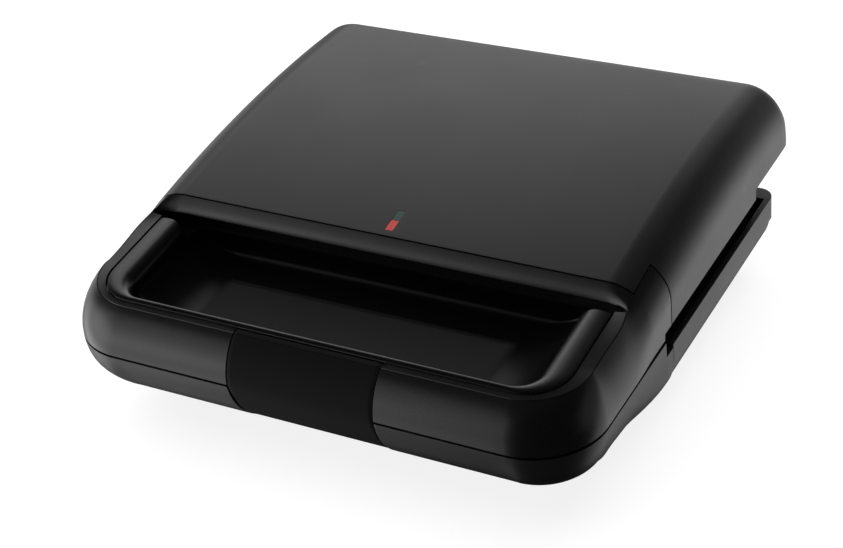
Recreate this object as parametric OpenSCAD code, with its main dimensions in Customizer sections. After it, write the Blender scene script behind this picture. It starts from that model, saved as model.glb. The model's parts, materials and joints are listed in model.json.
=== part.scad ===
// Sandwich toaster with a hinged lid, a front grip with a finger recess and a swinging latch.
// X runs across the width, Y from the grip (front, negative) to the hinge (rear), Z up from the table.

/* [Overall] */
// Width across the grip
body_w = 240; // [200:1:288]
// Depth from the latch face to the rear of the lid
body_d = 242.6; // [204:0.1:293]
// Height of the split between the two grips above the table
split_z = 41; // [38:1:49]
// Height of the lid's crown above the split
lid_rise = 40; // [38:1:48]

/* [Shells] */
// Wall thickness of the moulded shells
wall = 2.5; // [2.1:0.1:3]
// Gap at visible seams
seam = 0.5; // [0.4:0.1:0.8]
// Length of the grip mouldings, front edge to the seam with the cooking body
grip_len = 96; // [92:1:115]
// Plan corner radius of the grip
grip_corner_r = 30; // [25:1:36]
// How far the cooking body's sides sit inside the grip's width, each side
body_inset = 0.5; // [0.4:0.1:1]
// Height of the lid's lower edge above the split
lid_edge = 3.4; // [3:0.1:4]
// Height of the lid's lower edge above the split, behind the step at the hinge
lid_rear_edge = 8.5; // [8.5:0.1:10]
// Drop of the lower housing's rim below the split
rim_drop = 7.3; // [7:0.1:8.7]
// Radius of the lid's side shoulders
shoulder_r = 19; // [16:1:22]
// Radius of the lid's rear top edge
rear_r = 11; // [9:1:13]
// How far the lid's crown falls from its highest point to the cover's front edge
crown_drop = 8.8; // [7.4:0.1:10.6]

/* [Grip] */
// Width of the recess liner
liner_w = 214; // [178:1:214]
// Height of the grip's front top edge above the split
grip_rise = 19.2; // [17:0.1:19.5]
// Depth of the finger recess floor above the split
floor_rise = 6; // [5.6:0.1:7]
// Width of the latch
latch_w = 67; // [56:1:80]
// Thickness of the latch plate
latch_t = 3.2; // [2.7:0.1:3.8]
// Diameter of the latch pin
latch_pin_d = 2.5; // [2.1:0.1:3]

/* [Hinge] */
// Diameter of the hinge pins
hinge_pin_d = 4; // [3.4:0.1:4.6]
// Distance from the lid's centre line to each hinge
hinge_x = 88; // [74:1:92]

/* [Cooking plates] */
// Thickness of each plate
plate_t = 10; // [9:0.5:11]
// Depth of the sandwich pockets
pocket_depth = 7.2; // [6:0.1:7.6]
// Diameter of the heating rods
rod_d = 6.4; // [5.4:0.1:7.6]

/* [Hidden] */
$fn = 64;

big = 600;
eps = 0.01;
fit = 0.05;              // radial clearance of pins in their bores
touch = 0.1;             // clearance between parts that are screwed together
latch_proud = 0.6;       // the latch face stands this far ahead of the grip's front line
front_y = -body_d / 2 + latch_proud;
rear_y = body_d / 2;
body_side_w = body_w - 2 * body_inset;

// Distances behind the grip's front line
function fy(d) = front_y + d;
seam_y = fy(grip_len);
bridge_y = fy(74);       // front face of the bar that spans the recess
cover_y = fy(78.5);      // front edge of the lid cover
bar_h = 6.7;             // height of that bar
bridge_under = lid_rise - crown_drop - bar_h;
arm_w = 8.4;             // width of the grip arms that flank the cover's front edge
liner_front = fy(12.8);  // front edge of the recess liner
liner_r = 17.5;          // its front corner radius

// Grip profile arcs
upper_arc_r = 23.4;
lower_arc_r = 38.5;
lower_arc_y = 38.1;
lower_arc_z = 5.3;
side_arc_r = 30;
grip_gap = 0.4;          // half of the gap between the two grips
grip_drop = 33;          // grip underside below the split
body_drop = 37;          // housing underside below the split
grip_slope = (bridge_under + 0.14 - grip_rise) / 64;
side_r = 22;             // radius along the lower sides
under_r = 11;            // radius from the housing's rear wall into its underside
function grip_top(d) = split_z + grip_rise + grip_slope * (d - 10);

// Hinge axis
hinge_y = rear_y - 26;
hinge_z = split_z - 2;
knuckle_r = 4.5;
knuckle_t = 5.5;
ear_t = 6;
hinge_gap = 0.4;

// Lower housing
housing_rear = hinge_y + 6.5;
deck_y = housing_rear - 8.5;
rim_z = split_z - rim_drop;
base_z = split_z - body_drop;
rear_step_z = split_z - 19;
rear_step = 8;
housing_corner_r = 7;

// Plates
plate_plane = hinge_z;
plate_gap = 0.15;
plate_front = seam_y + 4.5;
plate_rear = hinge_y - 7;
plate_w = body_side_w - 2 * wall - 6;
plate_r = 8;
boss_d = 9;
boss_x = plate_w / 2 - 24;
boss_dy = (plate_rear - plate_front) / 2 - 16;
plate_mid = (plate_rear + plate_front) / 2;
shield_gap = 10;
shield_t = 0.8;
screw_d = 3.4;
screw_hole_d = 3.6;
head_d = 6.6;
head_h = 2.4;

// Lid crown: an arc through its highest point and the cover's front edge
crown_y = rear_y - 54.4;
crown_run = crown_y - cover_y;
crown_r = (crown_run * crown_run + crown_drop * crown_drop) / (2 * crown_drop);
crown_z = split_z + lid_rise - crown_r;
function crown(y) = crown_z + sqrt(crown_r * crown_r - (y - crown_y) * (y - crown_y));

// Latch
latch_axis_y = fy(12);
latch_axis_z = split_z + 15.4;
latch_barrel_r = latch_pin_d / 2 + 1.1;
latch_drop = 26;         // lower edge of the latch below the split
latch_gap = 0.4;
latch_foot_gap = 1.4;    // room under the latch's lower edge, which drops a little as it swings
latch_top_gap = 0.8;
latch_corner_r = 2.5;
latch_half = latch_w / 2 + latch_gap;    // half width of the pocket that the latch closes into
pocket_back = fy(14.75); // rear of that pocket above the split
low_pocket_back = fy(19.5);
low_pocket_z = split_z - latch_drop - latch_foot_gap;
lug_t = 2.6;
cheek_z = split_z + 12;  // top of the wall behind the latch

// Heat shields, posts and screws
shield_low = plate_plane - plate_gap - plate_t - shield_gap;
shield_high = plate_plane + plate_gap + plate_t + shield_gap;
shield_w = plate_w - 10;
shield_front = plate_front + 5;
shield_rear = plate_rear - 5;
post_top = shield_low - shield_t;
screw_seat_z = base_z + 5;
rod_run = plate_w / 2 - 50;
rod_r = 30;
rod_tail = 14;

// Rear wall fittings
gland_wall_y = housing_rear - rear_step;
gland_x = 70;
gland_z = base_z + 11;
gland_d = 9.6;
gland_bore = 7;
gland_bead = gland_d + 1.6;              // bead that holds the gland from inside
gland_room = 0.4;                        // clearance round that bead
gland_pad = gland_bead + 2 * (gland_room + wall);
gland_pad_z = gland_z - gland_pad / 2;
block_w = 26;
block_l = 15;
block_x = gland_x - 34;
block_y = gland_wall_y - 14;
block_z = base_z + wall + 1.5;
block_head_h = 1.3;
block_room = 0.75;                       // between the terminal screws and the shield over them
block_h = shield_low - shield_t - block_room - block_head_h - block_z;
vent_count = 8;
vent_pitch = 9;
notch_len = 7.5;

// Feet and grip screws
foot_d = 12;
foot_recess = 1.2;
foot_x = body_w / 2 - 31;
handle_screw_x = body_w / 2 - 34;
handle_screw_y = fy(84);
handle_seat_z = split_z - grip_drop + 6;
tongue_z = split_z - 12;
tongue_t = 3;

// Lid fittings
frame_t = 2;
frame_z = plate_plane + plate_gap + plate_t + touch;
lid_screw_x = body_side_w / 2 - 11;
lid_screw_y = rear_y - 15;
front_screw_x = liner_w / 2 - 47;
front_screw_y = fy(87.5);
tab_w = 16;
step_y = hinge_y - 20;
window_w = 3.6;
window_l = 12.6;
window_y = fy(82);
cover_top = crown(window_y);
lens_z = cover_top - wall - 1.6;
lens_sink = 0.1;         // the lenses lie this far under the lid's surface
board_z = lens_z - 8;
board_t = 1.6;
liner_seat_z = split_z + grip_gap + 1.4;
liner_screw_points = [for (s = [-1, 1]) [s * (liner_w / 2 - 50), fy(40)]];
thermostat_x = 34;
fuse_x = -34;
fuse_low = plate_plane + plate_gap + plate_t + touch;
fuse_z = fuse_low + 2;
pocket_rib = 8;
pocket_w = (plate_w - 2 * 9 - pocket_rib) / 2;
pocket_l = plate_rear - plate_front - 18;
pocket_cut = 11;
rim_step = 1.2;
rod_gap = 0.2;
plate_screw_x = plate_w / 2 - 11;
plate_screw_inset = 9.5;

// ---------- helpers ----------

module along_x(w) {
    translate([-w / 2, 0, 0])
        rotate([90, 0, 90])
            linear_extrude(w)
                children();
}

module along_y(y0, y1) {
    translate([0, y1, 0])
        rotate([90, 0, 0])
            linear_extrude(y1 - y0)
                children();
}

module both_sides() {
    children();
    mirror([1, 0, 0])
        children();
}

// Rounded rectangle in plan, centred on X, with its own front and rear corner radii
module plan(w, y0, y1, rf, rr) {
    translate([-w / 2, y0 + rf])
        square([w, y1 - y0 - rf - rr]);
    translate([-w / 2 + rf, y0])
        square([w - 2 * rf, rf + eps]);
    translate([-w / 2 + rr, y1 - rr - eps])
        square([w - 2 * rr, rr + eps]);
    for (s = [-1, 1]) {
        translate([s * (w / 2 - rf), y0 + rf])
            circle(r = rf);
        translate([s * (w / 2 - rr), y1 - rr])
            circle(r = rr);
    }
}

module slab(w, y0, y1, rf, rr, z0, z1) {
    translate([0, 0, z0])
        linear_extrude(z1 - z0)
            plan(w, y0, y1, rf, rr);
}

module box(x0, x1, y0, y1, z0, z1) {
    translate([x0, y0, z0])
        cube([x1 - x0, y1 - y0, z1 - z0]);
}

module post(x, y, z0, z1, d) {
    translate([x, y, z0])
        cylinder(d = d, h = z1 - z0);
}

module rod_x(y, z, x0, x1, d) {
    translate([x0, y, z])
        rotate([0, 90, 0])
            cylinder(d = d, h = x1 - x0);
}

// Pan-head screw, head down (dir 1) or head up (dir -1), z at the seat under the head
module pan_screw(x, y, z, len, dir) {
    translate([x, y, z])
        rotate([dir > 0 ? 0 : 180, 0, 0])
            difference() {
                union() {
                    translate([0, 0, -head_h])
                        cylinder(d = head_d, h = head_h);
                    cylinder(d = screw_d, h = len);
                }
                for (a = [0, 90])
                    rotate([0, 0, a])
                        translate([-2, -0.5, -head_h - eps])
                            cube([4, 1, 1.2]);
            }
}

// ---------- outer forms (t is the inset from the outer skin) ----------

// Grip front, above the split: a side view
module upper_front(t) {
    intersection() {
        union() {
            translate([fy(upper_arc_r), split_z])
                circle(r = upper_arc_r - t);
            translate([fy(upper_arc_r), split_z - 60])
                square([120, 120]);
        }
        polygon([
            [fy(-10), split_z],
            [fy(120), split_z],
            [fy(120), grip_top(120) - t],
            [fy(-10), grip_top(-10) - t]
        ]);
    }
}

// Grip front, below the split: a side view
module lower_front(t) {
    union() {
        intersection() {
            translate([fy(lower_arc_y), split_z + lower_arc_z])
                circle(r = lower_arc_r - t);
            translate([fy(-10), split_z - grip_drop + t])
                square([lower_arc_y + 10, grip_drop - grip_gap - t]);
        }
        translate([fy(lower_arc_y) - eps, split_z - grip_drop + t])
            square([big, grip_drop - grip_gap - t]);
    }
}

// Grip sides above the split: a front view
module upper_sides(t) {
    intersection() {
        union() {
            for (s = [-1, 1])
                translate([s * (body_w / 2 - side_arc_r), split_z])
                    circle(r = side_arc_r - t);
            translate([-body_w / 2 + side_arc_r, split_z - 60])
                square([body_w - 2 * side_arc_r, 160]);
        }
        translate([-big / 2, split_z])
            square([big, 100]);
    }
}

// Rounded tub section for everything below the split, cut flat at its own underside: a front view
module lower_sides(w, drop, t) {
    intersection() {
        union() {
            translate([-w / 2 + t, base_z + side_r])
                square([w - 2 * t, body_drop]);
            translate([-w / 2 + side_r, base_z + t])
                square([w - 2 * side_r, body_drop]);
            for (s = [-1, 1])
                translate([s * (w / 2 - side_r), base_z + side_r])
                    circle(r = side_r - t);
        }
        translate([-w / 2, split_z - drop + t])
            square([w, body_drop]);
    }
}

// The lid's crowned outer form: shoulders swept along the crown, rear edge rounded, rear corners rounded
module lid_form(t) {
    intersection() {
        translate([0, crown_y, crown_z])
            rotate([0, -90, 0])
                rotate([0, 0, -16])
                    rotate_extrude(angle = 26, $fn = 360)
                        crown_section(t);
        along_x(body_w + 10)
            rear_section(t);
        slab(body_side_w - 2 * t, fy(0), rear_y - t, 1, 6, split_z - 20, split_z + 80);
    }
}

module crown_section(t) {
    half = body_side_w / 2 - t;
    r = shoulder_r - t;
    translate([crown_r - 90, -half])
        square([90 - shoulder_r, 2 * half]);
    translate([crown_r - 90, -half + r])
        square([90 - t, 2 * half - 2 * r]);
    for (s = [-1, 1])
        translate([crown_r - shoulder_r, s * (half - r)])
            circle(r = r);
}

module rear_section(t) {
    top = crown(rear_y - rear_r);
    translate([fy(0), split_z - 20])
        square([rear_y - rear_r - fy(0), 110]);
    translate([fy(0), split_z - 20])
        square([rear_y - t - fy(0), top - rear_r - split_z + 20]);
    translate([rear_y - rear_r, top - rear_r])
        circle(r = rear_r - t);
}

// ---------- base ----------

module housing_form(t) {
    intersection() {
        along_y(seam_y + seam + t, housing_rear + 5)
            lower_sides(body_side_w, body_drop, t);
        slab(body_side_w - 2 * t, seam_y + seam + t, housing_rear - t, 1, housing_corner_r, base_z, rim_z);
        along_x(body_w)
            housing_profile(t);
    }
}

// Side view of the housing: the rear wall steps in below the hinge and rounds into the underside
module housing_profile(t) {
    low_rear = gland_wall_y - t;
    r = under_r;
    translate([seam_y, base_z + t])
        square([gland_wall_y - r - seam_y, body_drop]);
    translate([seam_y, base_z + r])
        square([low_rear - seam_y, rear_step_z + t - base_z - r]);
    translate([seam_y, rear_step_z + t])
        square([housing_rear - t - seam_y, 40]);
    translate([gland_wall_y - r, base_z + r])
        circle(r = r - t);
}

module at_plate_points() {
    for (sx = [-1, 1], sy = [-1, 1])
        translate([sx * boss_x, plate_mid + sy * boss_dy, 0])
            children();
}

module hinge_ears() {
    both_sides()
        difference() {
            union() {
                rod_x(hinge_y, hinge_z, hinge_x - ear_t, hinge_x, 2 * knuckle_r);
                box(hinge_x - ear_t, hinge_x, hinge_y - knuckle_r, hinge_y + knuckle_r, rim_z - 1, hinge_z);
            }
            rod_x(hinge_y, hinge_z, hinge_x - ear_t - 1, hinge_x + 1, hinge_pin_d + 2 * fit);
        }
}

module lower_housing() {
    color("#1d1d1f")
        difference() {
            union() {
                difference() {
                    housing_form(0);
                    difference() {
                        housing_form(wall);
                        box(-big, big, deck_y, big, rim_z - wall, rim_z + 1);
                    }
                    box(-body_side_w / 2 + wall, body_side_w / 2 - wall, seam_y + seam + wall, deck_y,
                        rim_z - wall - 1, rim_z + 1);
                }
                at_plate_points()
                    post(0, 0, base_z + wall - eps, post_top, boss_d + 2);
                hinge_ears();
                box(block_x - block_w / 2, block_x + block_w / 2, block_y - block_l / 2, block_y + block_l / 2,
                    base_z + wall - eps, block_z);
                // flat pad that the cord gland seats on
                box(gland_x - gland_pad / 2, gland_x + gland_pad / 2, gland_wall_y - 8, gland_wall_y,
                    gland_pad_z, rear_step_z + eps);
                // tongues that the lower grip is screwed to
                for (x = [-1, 1] * handle_screw_x) {
                    box(x - tab_w / 2, x + tab_w / 2, handle_screw_y - 6, seam_y + seam + wall,
                        tongue_z, tongue_z + tongue_t);
                    post(x, handle_screw_y, tongue_z, tongue_z + tongue_t + 5, boss_d);
                }
            }
            box(gland_x - gland_pad / 2 + wall, gland_x + gland_pad / 2 - wall, gland_wall_y - under_r,
                gland_wall_y - wall, gland_pad_z + wall, rear_step_z);
            for (x = [-1, 1] * handle_screw_x)
                post(x, handle_screw_y, tongue_z - 1, tongue_z + tongue_t + 6, screw_hole_d);
            at_plate_points() {
                post(0, 0, base_z - 1, post_top + 1, screw_hole_d);
                post(0, 0, base_z - 1, screw_seat_z, head_d + 0.6);
            }
            rod_y(gland_x, gland_z, gland_wall_y - wall - 1, gland_wall_y + 1, gland_d + 2 * fit);
            for (i = [0:vent_count - 1])
                translate([(i - (vent_count - 1) / 2) * vent_pitch, plate_mid, 0])
                    box(-1.5, 1.5, -22, 22, base_z - 1, base_z + wall + 1);
            at_rear_feet()
                post(0, 0, base_z - 1, base_z + foot_recess, foot_d + 2 * fit);
            terminal_screw_points()
                post(0, 0, block_z - 3.5, block_z + 1, 2.6);
        }
}

module lower_handle_form(t) {
    intersection() {
        slab(body_w - 2 * t, fy(t), seam_y - t, max(grip_corner_r - t, 2), 0.5,
             split_z - grip_drop + t, split_z - grip_gap - t);
        along_x(body_w)
            lower_front(t);
        along_y(front_y, seam_y)
            lower_sides(body_w, grip_drop, t);
    }
}

// Skin of the grip's front between two insets, as wide as the latch: one half above and one below the split
module front_slice(w, inset_a, inset_b, upper) {
    difference() {
        along_x(w)
            if (upper) upper_front(inset_a); else lower_front(inset_a);
        along_x(w + 1)
            if (upper) upper_front(inset_b); else lower_front(inset_b);
        box(-big, big, fy(20), big, -big, big);
    }
}

module lower_handle() {
    color("#1b1b1d")
        difference() {
            union() {
                difference() {
                    lower_handle_form(0);
                    lower_handle_form(wall);
                }
                intersection() {
                    lower_handle_form(0);
                    box(-latch_half - wall, latch_half + wall, front_y, low_pocket_back + wall,
                        low_pocket_z - wall, split_z);
                }
                for (x = [-1, 1] * handle_screw_x)
                    post(x, handle_screw_y, split_z - grip_drop + wall - eps, tongue_z - touch, boss_d + 2);
            }
            box(-latch_half, latch_half, front_y - 1, low_pocket_back, low_pocket_z, split_z + 1);
            gap_notch();
            for (x = [-1, 1] * handle_screw_x) {
                post(x, handle_screw_y, split_z - grip_drop - 1, tongue_z, screw_hole_d);
                post(x, handle_screw_y, split_z - grip_drop - 1, handle_seat_z, head_d + 0.6);
                box(x - tab_w / 2 - touch, x + tab_w / 2 + touch, seam_y - wall - 1, seam_y + 1,
                    tongue_z - touch, tongue_z + tongue_t + touch);
            }
            at_front_feet()
                post(0, 0, split_z - grip_drop - 1, split_z - grip_drop + foot_recess, foot_d + 2 * fit);
        }
}

// The gap between lid and housing runs a little way into both grips
module gap_notch() {
    both_sides()
        box(body_w / 2 - wall - 1.5, body_w, seam_y - notch_len, big, rim_z, split_z + lid_edge - 0.5);
}

module pocket_outline(s, grow) {
    offset_x = s * (pocket_w / 2 + pocket_rib / 2);
    for (k = [0, 1])
        translate([offset_x, plate_mid])
            rotate(k * 180)
                mirror([s > 0 ? 1 : 0, 0])
                    polygon([
                        [-pocket_w / 2 - grow, -pocket_l / 2 - grow],
                        [pocket_w / 2 - pocket_cut + grow * 1.4, -pocket_l / 2 - grow],
                        [-pocket_w / 2 - grow, pocket_l / 2 - pocket_cut + grow * 1.4]
                    ]);
}

// Cooking plate lying face up with its face at z = 0
module plate_body() {
    difference() {
        union() {
            slab(plate_w, plate_front, plate_rear, plate_r, plate_r, -plate_t, 0);
            at_plate_points()
                post(0, 0, -plate_t - shield_gap, -plate_t + eps, boss_d);
        }
        for (s = [-1, 1]) {
            translate([0, 0, -pocket_depth])
                linear_extrude(pocket_depth + 1)
                    pocket_outline(s, 0);
            translate([0, 0, -pocket_depth * 0.55])
                linear_extrude(pocket_depth + 1)
                    pocket_outline(s, 1.6);
            translate([0, 0, -rim_step])
                linear_extrude(rim_step + 1)
                    translate([s * (pocket_w + pocket_rib) / 2 - (pocket_w + 4) / 2, plate_mid - (pocket_l + 4) / 2])
                        square([pocket_w + 4, pocket_l + 4]);
        }
        // drain groove round the rim
        difference() {
            slab(plate_w - 6, plate_front + 3, plate_rear - 3, plate_r - 3, plate_r - 3, -1.2, 1);
            slab(plate_w - 9, plate_front + 4.5, plate_rear - 4.5, plate_r - 4.5, plate_r - 4.5, -2, 2);
        }
        at_plate_points()
            post(0, 0, -plate_t - shield_gap - 1, -plate_t + 1, screw_hole_d);
        at_frame_screws()
            post(0, 0, -plate_t - 1, -plate_t + 4, screw_hole_d);
    }
}

module at_frame_screws() {
    for (x = [-1, 1] * plate_screw_x, y = [plate_front + plate_screw_inset, plate_rear - plate_screw_inset])
        translate([x, y, 0])
            children();
}

module lower_plate() {
    color("#2a2a2c")
        translate([0, 0, plate_plane - plate_gap])
            plate_body();
}

// A long U of tubular heater with its cold ends turned to one side, centreline at z = 0
module heating_rod() {
    run = rod_run;
    for (s = [-1, 1])
        rod_x(plate_mid + s * rod_r, 0, -run, run + rod_tail, rod_d);
    translate([-run, plate_mid, 0])
        rotate(90)
            rotate_extrude(angle = 180)
                translate([rod_r, 0])
                    circle(d = rod_d);
    for (s = [-1, 1])
        rod_x(plate_mid + s * rod_r, 0, run + rod_tail - eps, run + rod_tail + 5, 2.4);
}

module lower_heating_rod() {
    color("#8d8a84")
        translate([0, 0, plate_plane - plate_gap - plate_t - rod_gap - rod_d / 2])
            heating_rod();
}

module heat_shield(face_z, up) {
    lip = up ? [face_z - 5, face_z + shield_t] : [face_z, face_z + shield_t + 5];
    difference() {
        slab(shield_w, shield_front, shield_rear, 4, 4, lip[0], lip[1]);
        slab(shield_w - 2 * shield_t, shield_front + shield_t, shield_rear - shield_t, 3.4, 3.4,
             up ? lip[0] - 1 : face_z + shield_t, up ? face_z : lip[1] + 1);
        at_plate_points()
            post(0, 0, face_z - 1, face_z + shield_t + 1, screw_hole_d);
    }
}

module lower_heat_shield() {
    color("#b9bbbe")
        heat_shield(shield_low - shield_t, false);
}

module lower_plate_screws() {
    color("#9a9ca0")
        at_plate_points()
            pan_screw(0, 0, screw_seat_z, plate_plane - plate_gap - plate_t - 2 - screw_seat_z, 1);
}

module lower_handle_screws() {
    color("#9a9ca0")
        for (x = [-1, 1] * handle_screw_x)
            pan_screw(x, handle_screw_y, handle_seat_z, tongue_z + tongue_t + 4 - handle_seat_z, 1);
}

module foot(height) {
    difference() {
        union() {
            post(0, 0, 0, height + foot_recess - touch, foot_d);
            post(0, 0, 0, height - 1, foot_d + 3);
        }
        post(0, 0, -1, 1, foot_d - 5);
    }
}

module at_front_feet() {
    for (x = [-1, 1] * foot_x)
        translate([x, fy(52), 0])
            children();
}

module at_rear_feet() {
    for (x = [-1, 1] * foot_x)
        translate([x, gland_wall_y - 22, 0])
            children();
}

module front_feet() {
    color("#2c2c2e")
        at_front_feet()
            foot(split_z - grip_drop);
}

module rear_feet() {
    color("#2c2c2e")
        at_rear_feet()
            foot(base_z);
}

module hinge_pins() {
    color("#a5a7aa")
        both_sides() {
            rod_x(hinge_y, hinge_z, hinge_x - ear_t - 0.2, hinge_x + hinge_gap + knuckle_t + 0.2, hinge_pin_d);
            rod_x(hinge_y, hinge_z, hinge_x - ear_t - 1.7, hinge_x - ear_t - 0.2, hinge_pin_d + 2);
        }
}

module rod_y(x, z, y0, y1, d) {
    translate([x, y1, z])
        rotate([90, 0, 0])
            cylinder(d = d, h = y1 - y0);
}

module cord_gland() {
    color("#141416")
        difference() {
            union() {
                rod_y(gland_x, gland_z, gland_wall_y - wall - 4, gland_wall_y + 0.5, gland_d);
                rod_y(gland_x, gland_z, gland_wall_y + touch, gland_wall_y + 2.5, gland_d + 4);
                rod_y(gland_x, gland_z, gland_wall_y - wall - 4, gland_wall_y - wall - touch, gland_bead);
            }
            rod_y(gland_x, gland_z, gland_wall_y - wall - 5, gland_wall_y + 4, gland_bore);
        }
}

module terminal_screw_points() {
    for (s = [-1, 1])
        translate([block_x + s * (block_w / 2 - 3), block_y, 0])
            children();
}

module terminal_block() {
    color("#d8d4c8")
        difference() {
            box(block_x - block_w / 2, block_x + block_w / 2, block_y - 7, block_y + 7, block_z, block_z + block_h);
            terminal_screw_points()
                post(0, 0, block_z - 1, block_z + block_h + 1, 2.7);
            for (i = [-1:1])
                translate([block_x + i * 5.6, block_y, block_z + 4]) {
                    rotate([90, 0, 0])
                        cylinder(d = 3.6, h = 20, center = true);
                    for (s = [-1, 1])
                        translate([0, s * 3.6, 0])
                            cylinder(d = 2.6, h = 6);
                }
        }
}

module terminal_screws() {
    color("#9a9ca0")
        terminal_screw_points() {
            post(0, 0, block_z - 3, block_z + block_h + 0.5, 2.4);
            post(0, 0, block_z + block_h, block_z + block_h + block_head_h, 4.4);
        }
}

// ---------- lid ----------

// Everything of the lid's form that belongs to the cover rather than the grip
module cover_zone(grow) {
    x = body_side_w / 2 - arm_w;
    box(-x - grow, x + grow, cover_y + seam - grow, seam_y + seam + 1, split_z, big);
    box(-big, big, seam_y + seam - grow, big, split_z, big);
}

module lid_cover() {
    color("#303033")
        difference() {
            union() {
                difference() {
                    intersection() {
                        lid_form(0);
                        cover_zone(0);
                    }
                    lid_form(wall);
                }
                intersection() {
                    lid_form(wall / 2);
                    union() {
                        both_sides()
                            difference() {
                                union() {
                                    rod_x(hinge_y, hinge_z, hinge_x + hinge_gap, hinge_x + hinge_gap + knuckle_t,
                                          2 * knuckle_r);
                                    box(hinge_x + hinge_gap, hinge_x + hinge_gap + knuckle_t, hinge_y - knuckle_r,
                                        hinge_y + knuckle_r, hinge_z, big);
                                }
                                rod_x(hinge_y, hinge_z, hinge_x, hinge_x + 10, hinge_pin_d + 2 * fit);
                            }
                        for (x = [-1, 1] * lid_screw_x)
                            post(x, lid_screw_y, frame_z + frame_t, big, boss_d - 1);
                        for (x = [-1, 1] * front_screw_x)
                            post(x, front_screw_y, frame_z + frame_t, big, boss_d - 1);
                        at_board_points()
                            post(0, 0, board_z + board_t, big, 5);
                    }
                }
            }
            lower_edge_cut();
            for (x = [-1, 1] * lid_screw_x)
                post(x, lid_screw_y, frame_z, frame_z + frame_t + 14, screw_hole_d);
            for (x = [-1, 1] * front_screw_x)
                post(x, front_screw_y, frame_z, frame_z + frame_t + 10, screw_hole_d);
            at_board_points()
                post(0, 0, board_z, board_z + board_t + 6, 2.1);
            window(fit + 0.05, cover_top + 5, cover_top - 10);
        }
}

// Trims the lid's sides to their edge height, but leaves the hinge knuckles whole
module lower_edge_cut() {
    difference() {
        union() {
            box(-big, big, -big, big, -big, split_z + lid_edge);
            box(-big, big, step_y, big, -big, split_z + lid_rear_edge);
        }
        both_sides()
            box(hinge_x, hinge_x + hinge_gap + knuckle_t + 1, hinge_y - knuckle_r - 1, hinge_y + knuckle_r + 1,
                -big, big);
    }
}

module window(grow, top, low) {
    box(-window_w / 2 - grow, window_w / 2 + grow, window_y - grow, window_y + window_l + grow, low, top);
}

// Half of the window, from y0 to y1, its top following the crown
module lens(y0, y1) {
    flange = 1;
    intersection() {
        union() {
            box(-window_w / 2, window_w / 2, y0, y1, lens_z, big);
            box(-window_w / 2 - flange, window_w / 2 + flange, y0, y1, lens_z, lens_z + flange);
        }
        rod_x(crown_y, crown_z, -window_w, window_w, 2 * (crown_r - lens_sink), $fn = 1440);
    }
}

module red_lens() {
    color("#a83a30")
        lens(window_y, window_y + window_l / 2 - touch / 2);
}

module green_lens() {
    color("#1f3a38")
        lens(window_y + window_l / 2 + touch / 2, window_y + window_l);
}

module indicator_lamps() {
    color("#e0b090")
        for (s = [-1, 1])
            translate([0, window_y + window_l / 2 + s * window_l / 4, board_z + board_t]) {
                cylinder(d = 3, h = lens_z - board_z - board_t - 2);
                translate([0, 0, lens_z - board_z - board_t - 2])
                    sphere(d = 3);
            }
}

module at_board_points() {
    for (s = [-1, 1])
        translate([s * 11, window_y + window_l / 2, 0])
            children();
}

module lamp_board() {
    color("#7a5a30")
        difference() {
            box(-15, 15, window_y - 2, window_y + window_l + 2, board_z, board_z + board_t);
            at_board_points()
                post(0, 0, board_z - 1, board_z + board_t + 1, 2.6);
        }
}

module lamp_board_screws() {
    color("#9a9ca0")
        at_board_points() {
            post(0, 0, board_z - 1.4, board_z, 4.2);
            post(0, 0, board_z - eps, board_z + board_t + 5, 2);
        }
}

// Solid of the grip's front loop
module upper_grip_form(t, y_end) {
    intersection() {
        slab(body_w - 2 * t, fy(t), y_end + 5, max(grip_corner_r - t, 2), 1, split_z + grip_gap + t, split_z + 60);
        along_x(body_w)
            upper_front(t);
        along_y(front_y, y_end)
            upper_sides(t);
    }
}

// Solid of the grip's rear part: the bar over the recess and all that lies below and beside the cover's front edge
module rear_grip_form(t) {
    intersection() {
        lid_form(t);
        box(-big, big, bridge_y, seam_y - t, split_z + grip_gap + t, big);
    }
}

module upper_handle() {
    cover_half = body_side_w / 2 - arm_w + seam;
    floor_top = split_z + grip_gap + wall;
    color("#222224")
        difference() {
            union() {
                difference() {
                    upper_grip_form(0, bridge_y + 0.5);
                    upper_grip_form(wall, bridge_y + 2);
                    slab(liner_w + 2 * seam, liner_front - seam, bridge_y + 12, liner_r + seam, 1, cheek_z, big);
                }
                difference() {
                    rear_grip_form(0);
                    difference() {
                        rear_grip_form(wall);
                        box(-big, big, bridge_y, cover_y, split_z + bridge_under, big);
                    }
                    box(-cover_half, cover_half, cover_y, big, split_z + 15, big);
                    box(-liner_w / 2 - seam, liner_w / 2 + seam, bridge_y - 1, bridge_y + 2, floor_top,
                        split_z + bridge_under);
                }
                // ledge under the cover's front edge
                box(-liner_w / 2 + 6, liner_w / 2 - 6, cover_y - eps, cover_y + 2.5, split_z + bridge_under,
                    crown(cover_y) - wall - 0.4);
                for (p = liner_screw_points)
                    post(p[0], p[1], floor_top - eps, split_z + floor_rise - 2 - touch, boss_d - 1);
                for (x = [-1, 1] * front_screw_x)
                    post(x, front_screw_y, floor_top - eps, frame_z - touch, boss_d - 1);
                latch_lugs();
            }
            box(-latch_half, latch_half, front_y - 1, pocket_back, split_z, big);
            gap_notch();
            for (p = liner_screw_points)
                through_floor(p[0], p[1]);
            for (x = [-1, 1] * front_screw_x) {
                through_floor(x, front_screw_y);
                box(x - tab_w / 2 - touch, x + tab_w / 2 + touch, seam_y - wall - 1, seam_y + 1,
                    frame_z - touch, frame_z + frame_t + touch);
            }
            rod_x(latch_axis_y, latch_axis_z, -latch_w / 2 - 2.4, latch_w / 2 + 2.4, latch_pin_d + 2 * fit);
        }
}

// Screw hole up through the grip's floor with a recess for the head
module through_floor(x, y) {
    post(x, y, split_z, frame_z + 1, screw_hole_d);
    post(x, y, split_z, liner_seat_z, head_d + 0.6);
}

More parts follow.
